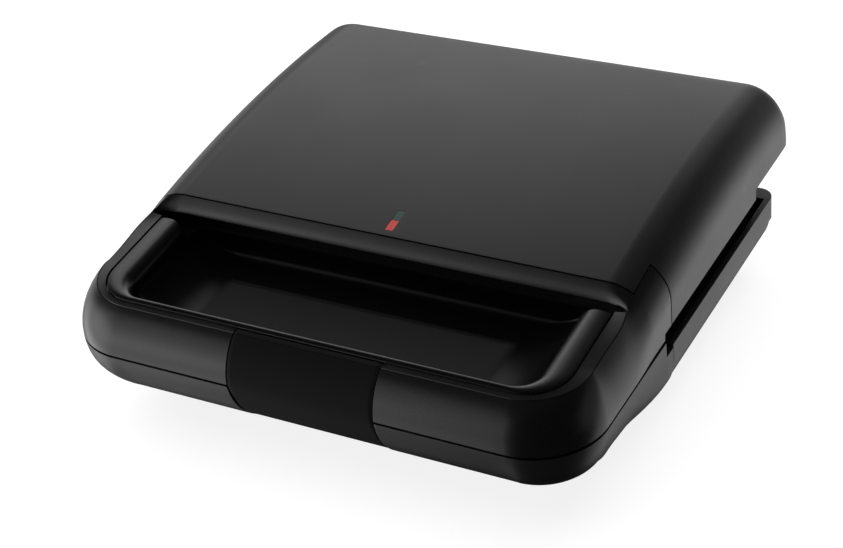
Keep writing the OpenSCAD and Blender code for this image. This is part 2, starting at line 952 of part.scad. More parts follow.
// Side cheeks that hold the latch pin, and the wall behind the latch
module latch_lugs() {
    low = split_z + grip_gap;
    intersection() {
        upper_grip_form(0, bridge_y);
        both_sides()
            union() {
                box(latch_half - eps, latch_half + lug_t, front_y, liner_front - seam - touch, low, big);
                box(latch_half - eps, latch_half + lug_t, front_y, fy(14.9), low, split_z + 17.2);
                box(latch_half - eps, latch_half + lug_t, front_y, pocket_back + 2, low, cheek_z);
            }
    }
    box(-latch_half - lug_t, latch_half + lug_t, pocket_back, pocket_back + 2, low, cheek_z);
}

module latch_room() {
    rod_x(latch_axis_y, latch_axis_z, -latch_half, latch_half, 2 * latch_barrel_r + 0.8);
    box(-latch_half, latch_half, latch_axis_y - 3, liner_front + latch_top_gap, latch_axis_z, big);
}

// Hollow of the recess: a front view and a side view, rounded over at the lip
module tub_section(t) {
    w = liner_w / 2;
    polygon([
        for (s = [-1, 1], p = s < 0 ? tub_side_points(t, w) : reverse(tub_side_points(t, w)))
            [s * p[0], p[1]]
    ]);
}

function reverse(list) = [for (i = [len(list) - 1:-1:0]) list[i]];

function tub_side_points(t, w) = [
    [w - 13 + t, split_z + 60],
    [w - 13 + t, split_z + grip_rise + 3],
    [w - 14.5 + t, split_z + grip_rise - 1],
    [w - 17 + t, split_z + grip_rise - 4],
    [w - 34 + t, split_z + floor_rise + 3],
    [w - 39 + t, split_z + floor_rise - t]
];

module tub_profile(t) {
    z = split_z + floor_rise;
    polygon([
        [fy(17) - t, split_z + 60],
        [fy(17) - t, split_z + grip_rise],
        [fy(18.5) - t, split_z + grip_rise - 2],
        [fy(22) - t, z + 2],
        [fy(26) - t, z - t],
        [fy(54) + t, z - t],
        [fy(58) + t, z + 2],
        [fy(76) + t, split_z + bridge_under - 2],
        [fy(77) + t, split_z + bridge_under + 2],
        [fy(77) + t, split_z + 60]
    ]);
}

module tub_form(t) {
    intersection() {
        along_x(liner_w)
            tub_profile(t);
        along_y(fy(0), fy(90))
            tub_section(t);
    }
}

module handle_liner() {
    lip = 0.4;               // the rim stands this far above the grip
    rear_top = split_z + bridge_under - 0.6;
    color("#18181a")
        difference() {
            union() {
                // rim that shows as the lip of the recess
                intersection() {
                    slab(liner_w, liner_front, fy(70), liner_r, 0.5, split_z, split_z + 60);
                    along_x(body_w)
                        polygon([
                            [fy(0), grip_top(0) + lip],
                            [fy(90), grip_top(90) + lip],
                            [fy(90), grip_top(90) - 2],
                            [fy(0), grip_top(0) - 2]
                        ]);
                }
                intersection() {
                    tub_form(2);
                    along_x(body_w)
                        polygon([
                            [fy(0), split_z],
                            [fy(90), split_z],
                            [fy(90), rear_top],
                            [fy(68), rear_top],
                            [fy(0), rear_top - 68 * grip_slope]
                        ]);
                }
            }
            tub_form(0);
            latch_room();
            for (p = liner_screw_points)
                post(p[0], p[1], split_z, split_z + floor_rise - 0.7, 2.8);
        }
}

module liner_screws() {
    color("#9a9ca0")
        for (p = liner_screw_points) {
            post(p[0], p[1], liner_seat_z - 1.2, liner_seat_z, head_d);
            post(p[0], p[1], liner_seat_z - eps, split_z + floor_rise - 1, 2.6);
        }
}

module upper_handle_screws() {
    color("#9a9ca0")
        for (x = [-1, 1] * front_screw_x) {
            post(x, front_screw_y, liner_seat_z - 1.2, liner_seat_z, head_d);
            post(x, front_screw_y, liner_seat_z - eps, frame_z + frame_t + 8, screw_d);
        }
}

module lid_frame() {
    color("#232325")
        difference() {
            union() {
                slab(body_side_w - 2 * wall - 1, seam_y + 2, rear_y - wall - 3.5, 1, 4, frame_z, frame_z + frame_t);
                slab(plate_w - 8, plate_front + 6, plate_rear - 6, 6, 6, frame_z, frame_z + frame_t + 2.5);
                for (x = [-1, 1] * front_screw_x)
                    box(x - tab_w / 2, x + tab_w / 2, front_screw_y - 6, seam_y + 4, frame_z, frame_z + frame_t);
            }
            at_frame_screws()
                post(0, 0, frame_z - 1, frame_z + 20, screw_hole_d);
            for (x = [-1, 1] * front_screw_x)
                post(x, front_screw_y, frame_z - 1, frame_z + 20, screw_hole_d);
            slab(plate_w - 14, plate_front + 14, plate_rear - 14, 6, 6, frame_z - 1, frame_z + 20);
            at_plate_points()
                post(0, 0, frame_z - 1, frame_z + 20, boss_d + 1);
            for (x = [-1, 1] * lid_screw_x)
                post(x, lid_screw_y, frame_z - 1, frame_z + frame_t + 1, screw_hole_d);
            // clear of the hinge knuckles and ears
            both_sides()
                box(hinge_x - ear_t - 2.5, hinge_x + hinge_gap + knuckle_t + 0.8, hinge_y - 11, hinge_y + 6,
                    frame_z - 1, frame_z + 20);
        }
}

module lid_frame_screws() {
    color("#9a9ca0")
        for (x = [-1, 1] * lid_screw_x)
            pan_screw(x, lid_screw_y, frame_z, frame_t + 11, 1);
}

module upper_plate() {
    color("#2a2a2c")
        translate([0, 0, plate_plane + plate_gap])
            mirror([0, 0, 1])
                plate_body();
}

module upper_heating_rod() {
    color("#8d8a84")
        translate([0, 0, plate_plane + plate_gap + plate_t + rod_gap + rod_d / 2])
            heating_rod();
}

module upper_heat_shield() {
    color("#b9bbbe")
        heat_shield(shield_high, true);
}

module heat_shield_screws() {
    color("#9a9ca0")
        at_plate_points()
            pan_screw(0, 0, shield_high + shield_t, shield_t + 6, -1);
}

module upper_plate_screws() {
    color("#9a9ca0")
        at_frame_screws()
            pan_screw(0, 0, frame_z + frame_t + 2.5, 7, -1);
}

module thermostat() {
    color("#c8c0b0")
        translate([thermostat_x, plate_mid, plate_plane + plate_gap + plate_t + touch]) {
            cylinder(d = 16, h = 4);
            translate([0, 0, 4 - eps])
                cylinder(d = 13, h = 3.4);
            for (s = [-1, 1])
                translate([s * 4 - 1.6, -0.4, 6])
                    cube([3.2, 0.8, 3.4]);
        }
}

module thermal_fuse() {
    color("#d0ccc0")
        rod_x(plate_mid, fuse_z, fuse_x - 7, fuse_x + 7, 4);
}

module fuse_clip() {
    color("#a5a7aa")
        difference() {
            union() {
                box(fuse_x - 3, fuse_x + 3, plate_mid - 8, plate_mid + 8, fuse_low, fuse_low + 0.8);
                rod_x(plate_mid, fuse_z, fuse_x - 3, fuse_x + 3, 5.8);
            }
            rod_x(plate_mid, fuse_z, fuse_x - 8, fuse_x + 8, 4.1);
            box(fuse_x - 5, fuse_x + 5, plate_mid - 2, plate_mid + 2, fuse_low - 4, fuse_low);
            box(fuse_x - 5, fuse_x + 5, plate_mid - 4, plate_mid + 4, fuse_low - 4, fuse_low);
        }
}

// ---------- latch ----------

module latch() {
    color("#151517")
        difference() {
            union() {
                intersection() {
                    union() {
                        front_slice(latch_w, -latch_proud, latch_t, true);
                        front_slice(latch_w, -latch_proud, latch_t, false);
                        box(-latch_w / 2, latch_w / 2, fy(-latch_proud), fy(latch_t), split_z - 0.6, split_z + 0.6);
                    }
                    union() {
                        box(-big, big, -big, liner_front - latch_gap / 2, split_z, big);
                        box(-big, big, -big, low_pocket_back - latch_gap, split_z - latch_drop, split_z + eps);
                    }
                    along_y(front_y - 10, fy(20))
                        latch_outline();
                }
                rod_x(latch_axis_y, latch_axis_z, -latch_w / 2, latch_w / 2, 2 * latch_barrel_r);
                box(-latch_w / 2, latch_w / 2, fy(8.5), latch_axis_y, latch_axis_z - latch_barrel_r,
                    latch_axis_z + latch_barrel_r);
            }
            rod_x(latch_axis_y, latch_axis_z, -latch_w / 2 - 1, latch_w / 2 + 1, latch_pin_d + 2 * fit);
        }
}

module latch_outline() {
    r = latch_corner_r;
    translate([-latch_w / 2, split_z - latch_drop + r])
        square([latch_w, 60]);
    translate([-latch_w / 2 + r, split_z - latch_drop])
        square([latch_w - 2 * r, r + 1]);
    for (s = [-1, 1])
        translate([s * (latch_w / 2 - r), split_z - latch_drop + r])
            circle(r = r);
}

module latch_pin() {
    color("#a5a7aa")
        rod_x(latch_axis_y, latch_axis_z, -latch_w / 2 - 2.2, latch_w / 2 + 2.2, latch_pin_d);
}

lower_housing();
lower_handle();
lower_plate();
lower_heating_rod();
lower_heat_shield();
lower_plate_screws();
lower_handle_screws();
front_feet();
rear_feet();
hinge_pins();
cord_gland();
terminal_block();
terminal_screws();
lid_cover();
upper_handle();
upper_handle_screws();
handle_liner();
liner_screws();
lid_frame();
lid_frame_screws();
upper_plate();
upper_plate_screws();
upper_heating_rod();
upper_heat_shield();
heat_shield_screws();
thermostat();
thermal_fuse();
fuse_clip();
red_lens();
green_lens();
indicator_lamps();
lamp_board();
lamp_board_screws();
latch();
latch_pin();
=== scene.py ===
"""Sandwich toaster with a hinged lid: camera, studio, moulded shells and the finish of every piece."""

import json
import math

import bmesh
import bpy
from mathutils import Matrix, Vector


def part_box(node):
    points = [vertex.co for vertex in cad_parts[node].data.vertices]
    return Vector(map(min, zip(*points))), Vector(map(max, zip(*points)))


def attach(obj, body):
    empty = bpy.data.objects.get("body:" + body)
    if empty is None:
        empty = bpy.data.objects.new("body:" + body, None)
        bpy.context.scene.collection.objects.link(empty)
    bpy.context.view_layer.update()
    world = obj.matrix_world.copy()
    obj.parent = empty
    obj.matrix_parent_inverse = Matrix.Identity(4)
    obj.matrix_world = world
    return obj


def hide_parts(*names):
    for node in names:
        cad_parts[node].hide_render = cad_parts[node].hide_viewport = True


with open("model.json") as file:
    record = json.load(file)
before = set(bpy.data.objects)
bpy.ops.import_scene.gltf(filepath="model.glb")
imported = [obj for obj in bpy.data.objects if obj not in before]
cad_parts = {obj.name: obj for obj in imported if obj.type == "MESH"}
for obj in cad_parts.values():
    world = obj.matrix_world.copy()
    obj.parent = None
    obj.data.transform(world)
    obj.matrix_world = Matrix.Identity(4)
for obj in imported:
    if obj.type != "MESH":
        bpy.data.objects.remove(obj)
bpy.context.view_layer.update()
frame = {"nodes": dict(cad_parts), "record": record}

MM = 0.001


def node_box(node):
    """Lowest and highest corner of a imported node, in millimetres"""
    low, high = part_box(node)
    return low / MM, high / MM


# ---------- driving sizes (mm); those from the frame come first ----------

grip_low, grip_high = node_box("upper_handle")
cover_high = node_box("lid_cover")[1]
lower_low = node_box("lower_handle")[0]
latch_low, latch_high = node_box("latch")

GRIP_GAP = 0.4                      # each grip stops this far from the parting plane
FRONT = grip_low.y                  # front line of the grip
SPLIT = grip_low.z - GRIP_GAP       # parting plane of the two grips
HALF_W = grip_high.x                # half width across the grip
BODY_HALF = cover_high.x            # half width across the lid and housing
DEEP = cover_high.y - FRONT         # depth from the grip's front line to the lid's rear wall
CROWN = cover_high.z - SPLIT        # height of the crown above the parting plane
UNDER = SPLIT - lower_low.z         # depth of the lower grip below the parting plane
LATCH_HALF = latch_high.x
LATCH_LOW = latch_low.z - SPLIT     # lower edge of the latch, below the parting plane
LATCH_GAP = 0.4
LATCH_CORNER = 2.5                  # radius of its lower corners
SPLIT_LINE = 0.85                   # the lower grip's edge stands this far below the parting plane

# Lid
CROWN_DEPTH = DEEP - 54.4           # where the crown is highest
CROWN_R = 680.7
SHOULDER_R = 19.3
REAR_R = 11.0
REAR_SIDE_R = 7.0                   # upright corner at the rear of the lid
REAR_CORNER_RISES = 10.0, 30.0      # the rear edge's radius narrows to that corner between these heights
COVER_DEPTH = 78.6                  # front edge of the cover
BAR_BACK = 77.8                     # rear edge of the bar in front of it
JOG_X = 111.1                       # the seam runs back along the shoulder from here
JOG_GAP = 0.15                      # half of the gap there
ARM_DEPTH = 96.0                    # rear end of the grip arms
LID_EDGE = 3.4
LID_REAR_EDGE = 8.5
STEP_DEPTH = 196.0
SHELL = 2.5
WINDOW_HALF = 1.8
WINDOW_FROM, WINDOW_TO = 82.0, 94.6

# Grip
CORNER_R = 30.2
BROW_IN, BROW_FRONT, BROW_R = 7.0, 10.0, 24.8      # bevel line: inset from the sides, depth, corner radius
SEAM_IN, SEAM_FRONT, SEAM_R = 13.0, 12.84, 17.9    # seam round the recess liner
BROW_RISE = 19.15
SEAM_RISE = 19.9
GRIP_SLOPE = 0.083                  # the grip's top rises rearwards
LIP_END = 69.0                      # rear end of the lip and of the rim beside it
ARM_BLEND = 58.0                    # the arms start to take the lid's shape here
FLOOR_RISE = 6.0
BAR_DEPTH, BAR_LOW = 74.0, 24.5     # lower front edge of the bar across the recess
BAR_FLAT, BAR_BULGE = 96.0, 0.9     # its lower edge is straight up to this x; how far its face bulges
BAR_THICK = 3.3                     # from that edge back to the wall under the bar
SEAM_GAP = 0.4
NOTCH_DEPTH = 88.5                  # the arms are notched from here back
NOTCH_LOW, NOTCH_HIGH = -8.0, 3.4
GRIP_WALL = 2.4
UPPER_POCKET = 4.2                  # depth of the latch's pocket in the upper grip
POCKET_X = 15.0                     # station across the pocket's back
GROOVE_W, GROOVE_SINK = 0.22, 0.4   # fine groove along the bevel line
RIM_WALL = 3.0                      # the rim strip's edge turns down this far at the liner
PANEL_MARGIN, PANEL_SINK = 2.9, 0.25          # closing panels lie this far inside the face and the edge
PANEL_FRONT = 30.0                  # ahead of this depth the margin is taken along the depth too
PANEL_NOTCH = 7.5                   # depth of their notch for the latch
GRIP_SCREW_HOLE, LINER_SCREW_HOLE = 3.7, 2.6  # radii of the holes over the screws
LINER_HIDDEN = 17.0                 # the liner's rear edge ends under the bar, at this height
LOWER_ARC_DEPTH, LOWER_ARC_RISE, LOWER_ARC_R = 38.1, 5.5, 38.5     # arc of the lower grip's front face


def at(x, depth, rise):
    """A point by its distance behind the grip's front line and its height over the parting plane"""
    return Vector((x, FRONT + depth, SPLIT + rise)) * MM


def lerp(a, b, t):
    return a + (b - a) * t


def smooth(a, b, x):
    t = min(1.0, max(0.0, (x - a) / (b - a)))
    return t * t * (3 - 2 * t)


def steps(a, b, count):
    """Evenly spaced values from a to b, both included"""
    return [lerp(a, b, i / count) for i in range(count + 1)]


# ---------- mesh building ----------

BEVEL_OVER, SHARP_OVER = 35, 40     # degrees between faces: edges above them are rounded, or shaded sharp
HOLE_SIDES = 28


def new_object(name, data):
    """An object in the scene, at the origin"""
    obj = bpy.data.objects.new(name, data)
    bpy.context.scene.collection.objects.link(obj)
    return obj


def evaluated_mesh(obj):
    """The object's mesh with its modifiers applied"""
    return bpy.data.meshes.new_from_object(obj.evaluated_get(bpy.context.evaluated_depsgraph_get()))


def mesh_object(name, mesh):
    """An object from a bmesh, which is freed"""
    data = bpy.data.meshes.new(name)
    mesh.to_mesh(data)
    mesh.free()
    return new_object(name, data)


class Skin:
    """A surface built from rows of points"""

    def __init__(self):
        self.mesh = bmesh.new()

    def row(self, points):
        return [self.mesh.verts.new(p) for p in points]

    def face(self, corners):
        kept = [v for i, v in enumerate(corners) if (v.co - corners[i - 1].co).length > 1e-7]
        if len(kept) > 2:
            self.mesh.faces.new(kept)

    def sheet(self, rows, keep=None, closed=False):
        """Quads between neighbouring rows; keep(row, column) can leave some out"""
        rows = [self.row(r) for r in rows]
        for i in range(len(rows) - 1):
            count = len(rows[i])
            for j in range(count if closed else count - 1):
                if keep is None or keep(i, j):
                    k = (j + 1) % count
                    self.face([rows[i][j], rows[i][k], rows[i + 1][k], rows[i + 1][j]])
        return rows

    def cap(self, points):
        self.face(self.row(points))

    def piece(self, name, outward):
        """The finished object; outward(centre) is a rough outward direction, tested over all faces"""
        bmesh.ops.remove_doubles(self.mesh, verts=self.mesh.verts[:], dist=0.02 * MM)
        bmesh.ops.recalc_face_normals(self.mesh, faces=self.mesh.faces[:])
        self.mesh.faces.ensure_lookup_table()
        self.mesh.normal_update()
        faces = self.mesh.faces
        if sum(f.normal.dot(outward(f.calc_center_median())) * f.calc_area() for f in faces) < 0:
            bmesh.ops.reverse_faces(self.mesh, faces=self.mesh.faces[:])
        return mesh_object(name, self.mesh)


def away_from(x, depth, rise):
    """Outward direction on a shell round that point"""
    middle = at(x, depth, rise)
    return lambda centre: (centre - middle).normalized()


def shell(obj, thickness, edge, even=False):
    """Gives a skin its wall, rounds its edges and makes the result a plain mesh"""
    wall = obj.modifiers.new("wall", "SOLIDIFY")
    wall.thickness = thickness * MM
    wall.offset = -1
    wall.use_even_offset = even
    wall.use_quality_normals = True
    if edge:
        bevel = obj.modifiers.new("edge", "BEVEL")
        bevel.width = edge * MM
        bevel.segments = 2
        bevel.limit_method = "ANGLE"
        bevel.angle_limit = math.radians(BEVEL_OVER)
        bevel.use_clamp_overlap = True
        bevel.miter_outer = "MITER_ARC"
    return plain(obj)


def plain(obj):
    """Applies the modifiers and sets smooth shading with weighted corners"""
    data = evaluated_mesh(obj)
    obj.modifiers.clear()
    obj.data = data
    for face in data.polygons:
        face.use_smooth = True
    data.set_sharp_from_angle(angle=math.radians(SHARP_OVER))
    weighted = obj.modifiers.new("corners", "WEIGHTED_NORMAL")
    weighted.keep_sharp = True
    weighted.weight = 50
    return obj


def joined(name, *objects):
    """One object from several, in the order given"""
    mesh = bmesh.new()
    for obj in objects:
        mesh.from_mesh(evaluated_mesh(obj))
        bpy.data.objects.remove(obj)
    return plain(mesh_object(name, mesh))


def plate(name, outline, holes, low, high, edge=0.4):
    """A flat plate with round holes; outline in (x, depth), holes in (x, depth, radius)"""
    curve = bpy.data.curves.new(name, "CURVE")
    curve.dimensions = "2D"
    curve.fill_mode = "BOTH"
    curve.extrude = ((high - low) / 2 - edge) * MM
    curve.bevel_depth = edge * MM
    curve.bevel_resolution = 1
    curve.offset = -edge * MM
    round_angles = [2 * math.pi * i / HOLE_SIDES for i in range(HOLE_SIDES)]
    loops = [[(x + r * math.cos(a), d + r * math.sin(a)) for a in round_angles] for x, d, r in holes]
    for loop in [outline] + loops:
        spline = curve.splines.new("POLY")
        spline.points.add(len(loop) - 1)
        spline.use_cyclic_u = True
        for point, (x, d) in zip(spline.points, loop):
            p = at(x, d, 0)
            point.co = (p.x, p.y, 0, 1)
    flat = new_object(name, curve)
    data = evaluated_mesh(flat)
    bpy.data.objects.remove(flat)
    data.transform(Matrix.Translation((0, 0, (SPLIT + (low + high) / 2) * MM)))
    return plain(new_object(name, data))


# ---------- lid cover ----------

def crown(depth):
    return CROWN - CROWN_R + math.sqrt(CROWN_R ** 2 - (depth - CROWN_DEPTH) ** 2)


def rear_turn():
    """Where the crown starts to turn down: height of the turn's axis and the lean there"""
    depth = DEEP - REAR_R
    rise = CROWN - CROWN_R + math.sqrt((CROWN_R - REAR_R) ** 2 - (depth - CROWN_DEPTH) ** 2)
    return rise, math.asin((depth - CROWN_DEPTH) / (CROWN_R - REAR_R))


def shoulder_rows(gap=0.0):
    """Angles across the right shoulder, one of them on the jog in the seam"""
    jog = math.asin((JOG_X + gap - BODY_HALF + SHOULDER_R) / SHOULDER_R)
    return steps(0, jog, 6) + steps(jog, math.pi / 2, 9)[1:], 6


def cover_row(columns, depth, low, turn=None):
    """A row across the right half of the lid and down its side; turn is the angle round the rear edge"""
    top = crown(depth) if turn is None else rear_turn()[0] + REAR_R
    axis = top - SHOULDER_R
    row = []
    for share, angle, fall in columns:
        height = lerp(axis + SHOULDER_R * math.cos(angle), low, fall)
        radius = lerp(REAR_SIDE_R, REAR_R, smooth(*REAR_CORNER_RISES, height))
        inset = 0.0 if turn is None else radius * (1 - math.cos(turn))
        x = (BODY_HALF - SHOULDER_R) * share + (SHOULDER_R - inset) * math.sin(angle)
        if not fall:
            height -= inset * math.cos(angle)
        row.append((x, depth if turn is None else DEEP - radius * (1 - math.sin(turn)), height))
    return row


def make_lid_cover():
    """The lid's moulded cover with its window and the cut-outs for the grip's arms"""
    start = rear_turn()[1]
    angles, jog = shoulder_rows(-JOG_GAP)
    flat = [0, WINDOW_HALF / (BODY_HALF - SHOULDER_R)] + steps(0.06, 1, 12)
    columns = [(s, 0, 0) for s in flat] + [(1, a, 0) for a in angles[1:]]
    columns += [(1, math.pi / 2, f) for f in steps(0, 1, 6)[1:]]
    depths = [COVER_DEPTH, 80.2, WINDOW_FROM, 86.2, 90.4, WINDOW_TO, ARM_DEPTH + SEAM_GAP]
    depths += steps(ARM_DEPTH + SEAM_GAP, STEP_DEPTH, 20)[1:]
    depths += steps(STEP_DEPTH + 0.3, DEEP - REAR_R + REAR_R * math.sin(start), 9)
    right = [cover_row(columns, d, LID_EDGE if d <= STEP_DEPTH else LID_REAR_EDGE) for d in depths]
    right += [cover_row(columns, DEEP, LID_REAR_EDGE, turn) for turn in steps(start, math.pi / 2, 11)[1:]]
    for row in right:
        row[1] = (WINDOW_HALF, row[1][1], row[1][2])
    rows = [[at(-x, d, r) for x, d, r in reversed(row)] + [at(*p) for p in row[1:]] for row in right]
    half = len(columns) - 1
    flats = len(flat) - 1

    def kept(i, j):
        side = abs(j - half + 0.5) - 0.5
        depth = (right[i][0][1] + right[i + 1][0][1]) / 2
        in_window = side < 1 and WINDOW_FROM < depth < WINDOW_TO
        in_arm = side >= flats + jog and depth < ARM_DEPTH
        return not in_window and not in_arm

    skin = Skin()
    skin.sheet(rows, kept)
    skin.cap(rows[-1])
    cover = skin.piece("lid_cover_shell", away_from(0, 150, 5))
    shell(cover, SHELL, 0.3, even=True)
    return cover


# ---------- upper grip ----------

# stations of the grip's columns: depths along the arms, shares along the front, steps round the corner
SIDES = [36, 40, 45, 50, 55, 58, 61, 64, 66.5, LIP_END, 71, BAR_DEPTH, 76, BAR_BACK, 83,
         NOTCH_DEPTH, NOTCH_DEPTH + 0.3, 92, ARM_DEPTH - SEAM_GAP]
FRONTS = [0, 0.2, 0.45, 0.7, 0.88, 1]
CORNERS = 16


def grip_line(inset, front, radius):
    """Half of a line round the grip in plan, from the latch to the rear end of the arm"""
    half = HALF_W - inset
    middle_x, middle_d = half - radius, front + radius
    start = LATCH_HALF + LATCH_GAP
    line = [(lerp(start, middle_x, t), front) for t in FRONTS]
    for angle in steps(0, math.pi / 2, CORNERS)[1:]:
        line.append((middle_x + radius * math.sin(angle), middle_d - radius * math.cos(angle)))
    return line + [(half, d) for d in SIDES]


def section(foot, brow, rise, low, count):
    """An arc that starts upright at the foot and ends at the brow"""
    reach = math.dist(foot, brow)
    radius = (reach ** 2 + rise ** 2) / (2 * reach)
    arc = []
    for angle in steps(math.asin(low / radius), math.asin(rise / radius), count):
        share = radius * (1 - math.cos(angle)) / reach
        x, depth = (lerp(a, b, share) for a, b in zip(foot, brow))
        arc.append((x, depth, radius * math.sin(angle)))
    return arc


def shoulder_section(depth, low, count):
    """The lid's own side and shoulder, up to the jog in the seam"""
    top = crown(depth) - SHOULDER_R
    jog = math.asin((JOG_X + JOG_GAP - BODY_HALF + SHOULDER_R) / SHOULDER_R)
    arc = SHOULDER_R * (math.pi / 2 - jog)
    side = []
    for s in steps(0, top - low + arc, count):
        if s < top - low:
            side.append((BODY_HALF, depth, low + s))
        else:
            angle = math.pi / 2 - (s - top + low) / SHOULDER_R
            x = BODY_HALF - SHOULDER_R * (1 - math.sin(angle))
            side.append((x, depth, top + SHOULDER_R * math.cos(angle)))
    return side


def grip_rise(depth, base, start):
    return base + GRIP_SLOPE * max(0.0, depth - start)


def arm_section(foot, brow, count=14):
    """One column of the grip's outer face, blended into the lid's shoulder along the arm"""
    depth = foot[1]
    low = GRIP_GAP if depth <= NOTCH_DEPTH else NOTCH_HIGH
    rise = grip_rise(brow[1], BROW_RISE, BROW_FRONT)
    column = section(foot, brow, rise, low, count)
    if foot[0] < HALF_W - 0.01:
        return column
    # the arm is slightly pinched behind the corner and swells before it meets the lid, mostly at its top
    swell = 0.75 * smooth(45, 66, depth) * (1 - smooth(68, 79, depth))
    swell -= 0.45 * smooth(26, 34, depth) * (1 - smooth(38, 55, depth))
    aside, up = 0.79 * swell, 0.61 * swell
    column = [(x + aside * min(1, r / rise), d, r + up * min(1, r / rise)) for x, d, r in column]
    share = smooth(ARM_BLEND, COVER_DEPTH, depth)
    if share:
        target = shoulder_section(depth, low, count)
        column = [tuple(lerp(a, b, share) for a, b in zip(p, q)) for p, q in zip(column, target)]
    return column


def grip_columns():
    feet = grip_line(0, 0, CORNER_R)
    brows = grip_line(BROW_IN, BROW_FRONT, BROW_R)
    return [arm_section(f, b) for f, b in zip(feet, brows)]


def rim_columns():
    """The strip between the bevel line and the seam round the liner, with a groove at the bevel line"""
    brows = grip_line(BROW_IN, BROW_FRONT, BROW_R)
    seams = grip_line(SEAM_IN, SEAM_FRONT, SEAM_R)
    tops = [column[-1] for column in grip_columns()]
    columns = []
    for top, brow, seam in zip(tops, brows, seams):
        if brow[1] > LIP_END + 0.1:
            break
        end = (*seam, grip_rise(seam[1], SEAM_RISE, SEAM_FRONT))
        span = math.dist(top[:2], end[:2])
        groove = [(0, 0), (GROOVE_W, GROOVE_SINK), (0.5, 0)]
        rows = []
        for away, sink in groove + [(span * 0.55, 0), (span - 0.3, 0), (span, -0.12)]:
            x, depth, height = (lerp(a, b, away / span) for a, b in zip(top, end))
            rows.append((x, depth, height - sink))
        columns.append(rows + [(end[0], end[1], end[2] - RIM_WALL)])
    return columns


def bar_columns():
    """The bar across the recess; its ends run into the arms"""
    arms = [c[-1] for c in grip_columns() if LIP_END - 0.1 < c[0][1] < BAR_BACK + 0.1]
    tip, corner = arms[0], arms[-1]
    columns = []
    angles, jog = shoulder_rows()
    tops = [(x, crown(BAR_BACK)) for x in steps(0, BODY_HALF - SHOULDER_R, 12)]
    for angle in angles[1:jog]:
        drop = SHOULDER_R * (1 - math.cos(angle))
        tops.append((BODY_HALF - SHOULDER_R * (1 - math.sin(angle)), crown(BAR_BACK) - drop))
    for x, rise in tops:
        t = max(0.0, (x - BAR_FLAT) / (corner[0] - BAR_FLAT))
        low = (lerp(x, tip[0], t * t), lerp(BAR_DEPTH, tip[1], t ** 2.2), lerp(BAR_LOW, tip[2], t ** 2.2))
        column = []
        for share in (0, 0.1, 0.3, 0.6, 1):
            bulge = BAR_BULGE * math.sin(math.pi * share)
            px, pd, pr = (lerp(a, b, share) for a, b in zip(low, (x, BAR_BACK, rise)))
            column.append((px, pd - bulge * 0.7, pr + bulge * 0.3))
        columns.append(column)
    columns.append(arms)
    whole = []
    for column in columns:
        x, d, r = column[0]
        end = smooth(BAR_FLAT, tip[0], x)
        back = lerp(BAR_DEPTH + BAR_THICK, d + 0.9, end)
        under = [(x - 1.8 * end, back, LINER_HIDDEN), (x - 1.8 * end, back, r - 0.4 - 1.8 * end),
                 (x - 0.9 * end, d + 0.4, r - 0.5 - 0.5 * end)]
        whole.append(under + column)
    return whole


def points(columns, side=1):
    """Columns in the frame's metres; side -1 is the left half"""
    return [[at(side * x, d, r) for x, d, r in column] for column in columns]


def latch_line(inset=0.0):
    """The grip's middle profile from the parting plane up to the rim, moved inwards by inset"""
    line = [(d, r) for x, d, r in section((0, 0), (0, BROW_FRONT), BROW_RISE, GRIP_GAP, 14)]
    line += [(BROW_FRONT + GROOVE_W, BROW_RISE - 0.35), (BROW_FRONT + 0.5, BROW_RISE + 0.15)]
    line += [(lerp(BROW_FRONT, SEAM_FRONT, t), lerp(BROW_RISE, SEAM_RISE, t)) for t in (0.5, 0.88)]
    radius = (BROW_FRONT ** 2 + BROW_RISE ** 2) / (2 * BROW_FRONT)
    moved = []
    for d, r in line:
        away = Vector((d - radius, r))
        away.normalize()
        moved.append((d - away.x * inset, r - away.y * inset))
    return moved


def lower_depth(rise):
    """Depth of the lower grip's front face at that height"""
    return LOWER_ARC_DEPTH - math.sqrt(LOWER_ARC_R ** 2 - (rise - LOWER_ARC_RISE) ** 2)


def make_upper_handle():
    """The upper grip: outer face, rim, bar, latch pocket and closing panel"""
    skin = Skin()
    for side in (1, -1):
        for columns in (grip_columns(), rim_columns()):
            skin.sheet(points(columns, side))
    bars = bar_columns()
    skin.sheet(points(bars[:0:-1], -1) + points(bars))
    start = LATCH_HALF + LATCH_GAP
    face, sunk = latch_line(), latch_line(UPPER_POCKET)
    walls = [(start, face), (start, sunk), (POCKET_X, sunk)]
    walls += [(-x, line) for x, line in reversed(walls)]
    skin.sheet(points([[(x, d, r) for d, r in line] for x, line in walls]))
    grip = skin.piece("grip_skin", away_from(0, 40, 5))
    shell(grip, GRIP_WALL, 0.25)
    holes = screw_holes("upper_handle_screws", GRIP_SCREW_HOLE)
    holes += screw_holes("liner_screws", LINER_SCREW_HOLE)
    panel = plate("grip_panel", panel_outline(), holes, GRIP_GAP + PANEL_SINK, GRIP_GAP + GRIP_WALL)
    return joined("upper_handle_shell", grip, panel)


def panel_outline():
    """Plan outline of a grip's closing panel, inside the grip's face and notched for the latch"""
    beside = LATCH_HALF + 2 * PANEL_MARGIN
    half = [(beside, PANEL_NOTCH)]
    half += [(max(x, beside), d) for x, d in grip_line(0, 0, CORNER_R) if d <= NOTCH_DEPTH]
    half = [(x - PANEL_MARGIN, d + PANEL_MARGIN * (d < PANEL_FRONT)) for x, d in half]
    return half + [(-x, d) for x, d in reversed(half)]


def screw_holes(node, radius):
    """Holes over the screws of a node, a pair mirrored across X"""
    low, high = node_box(node)
    depth = (low.y + high.y) / 2 - FRONT
    x = high.x - (high.y - low.y) / 2
    return [(x, depth, radius), (-x, depth, radius)]


# ---------- recess liner ----------

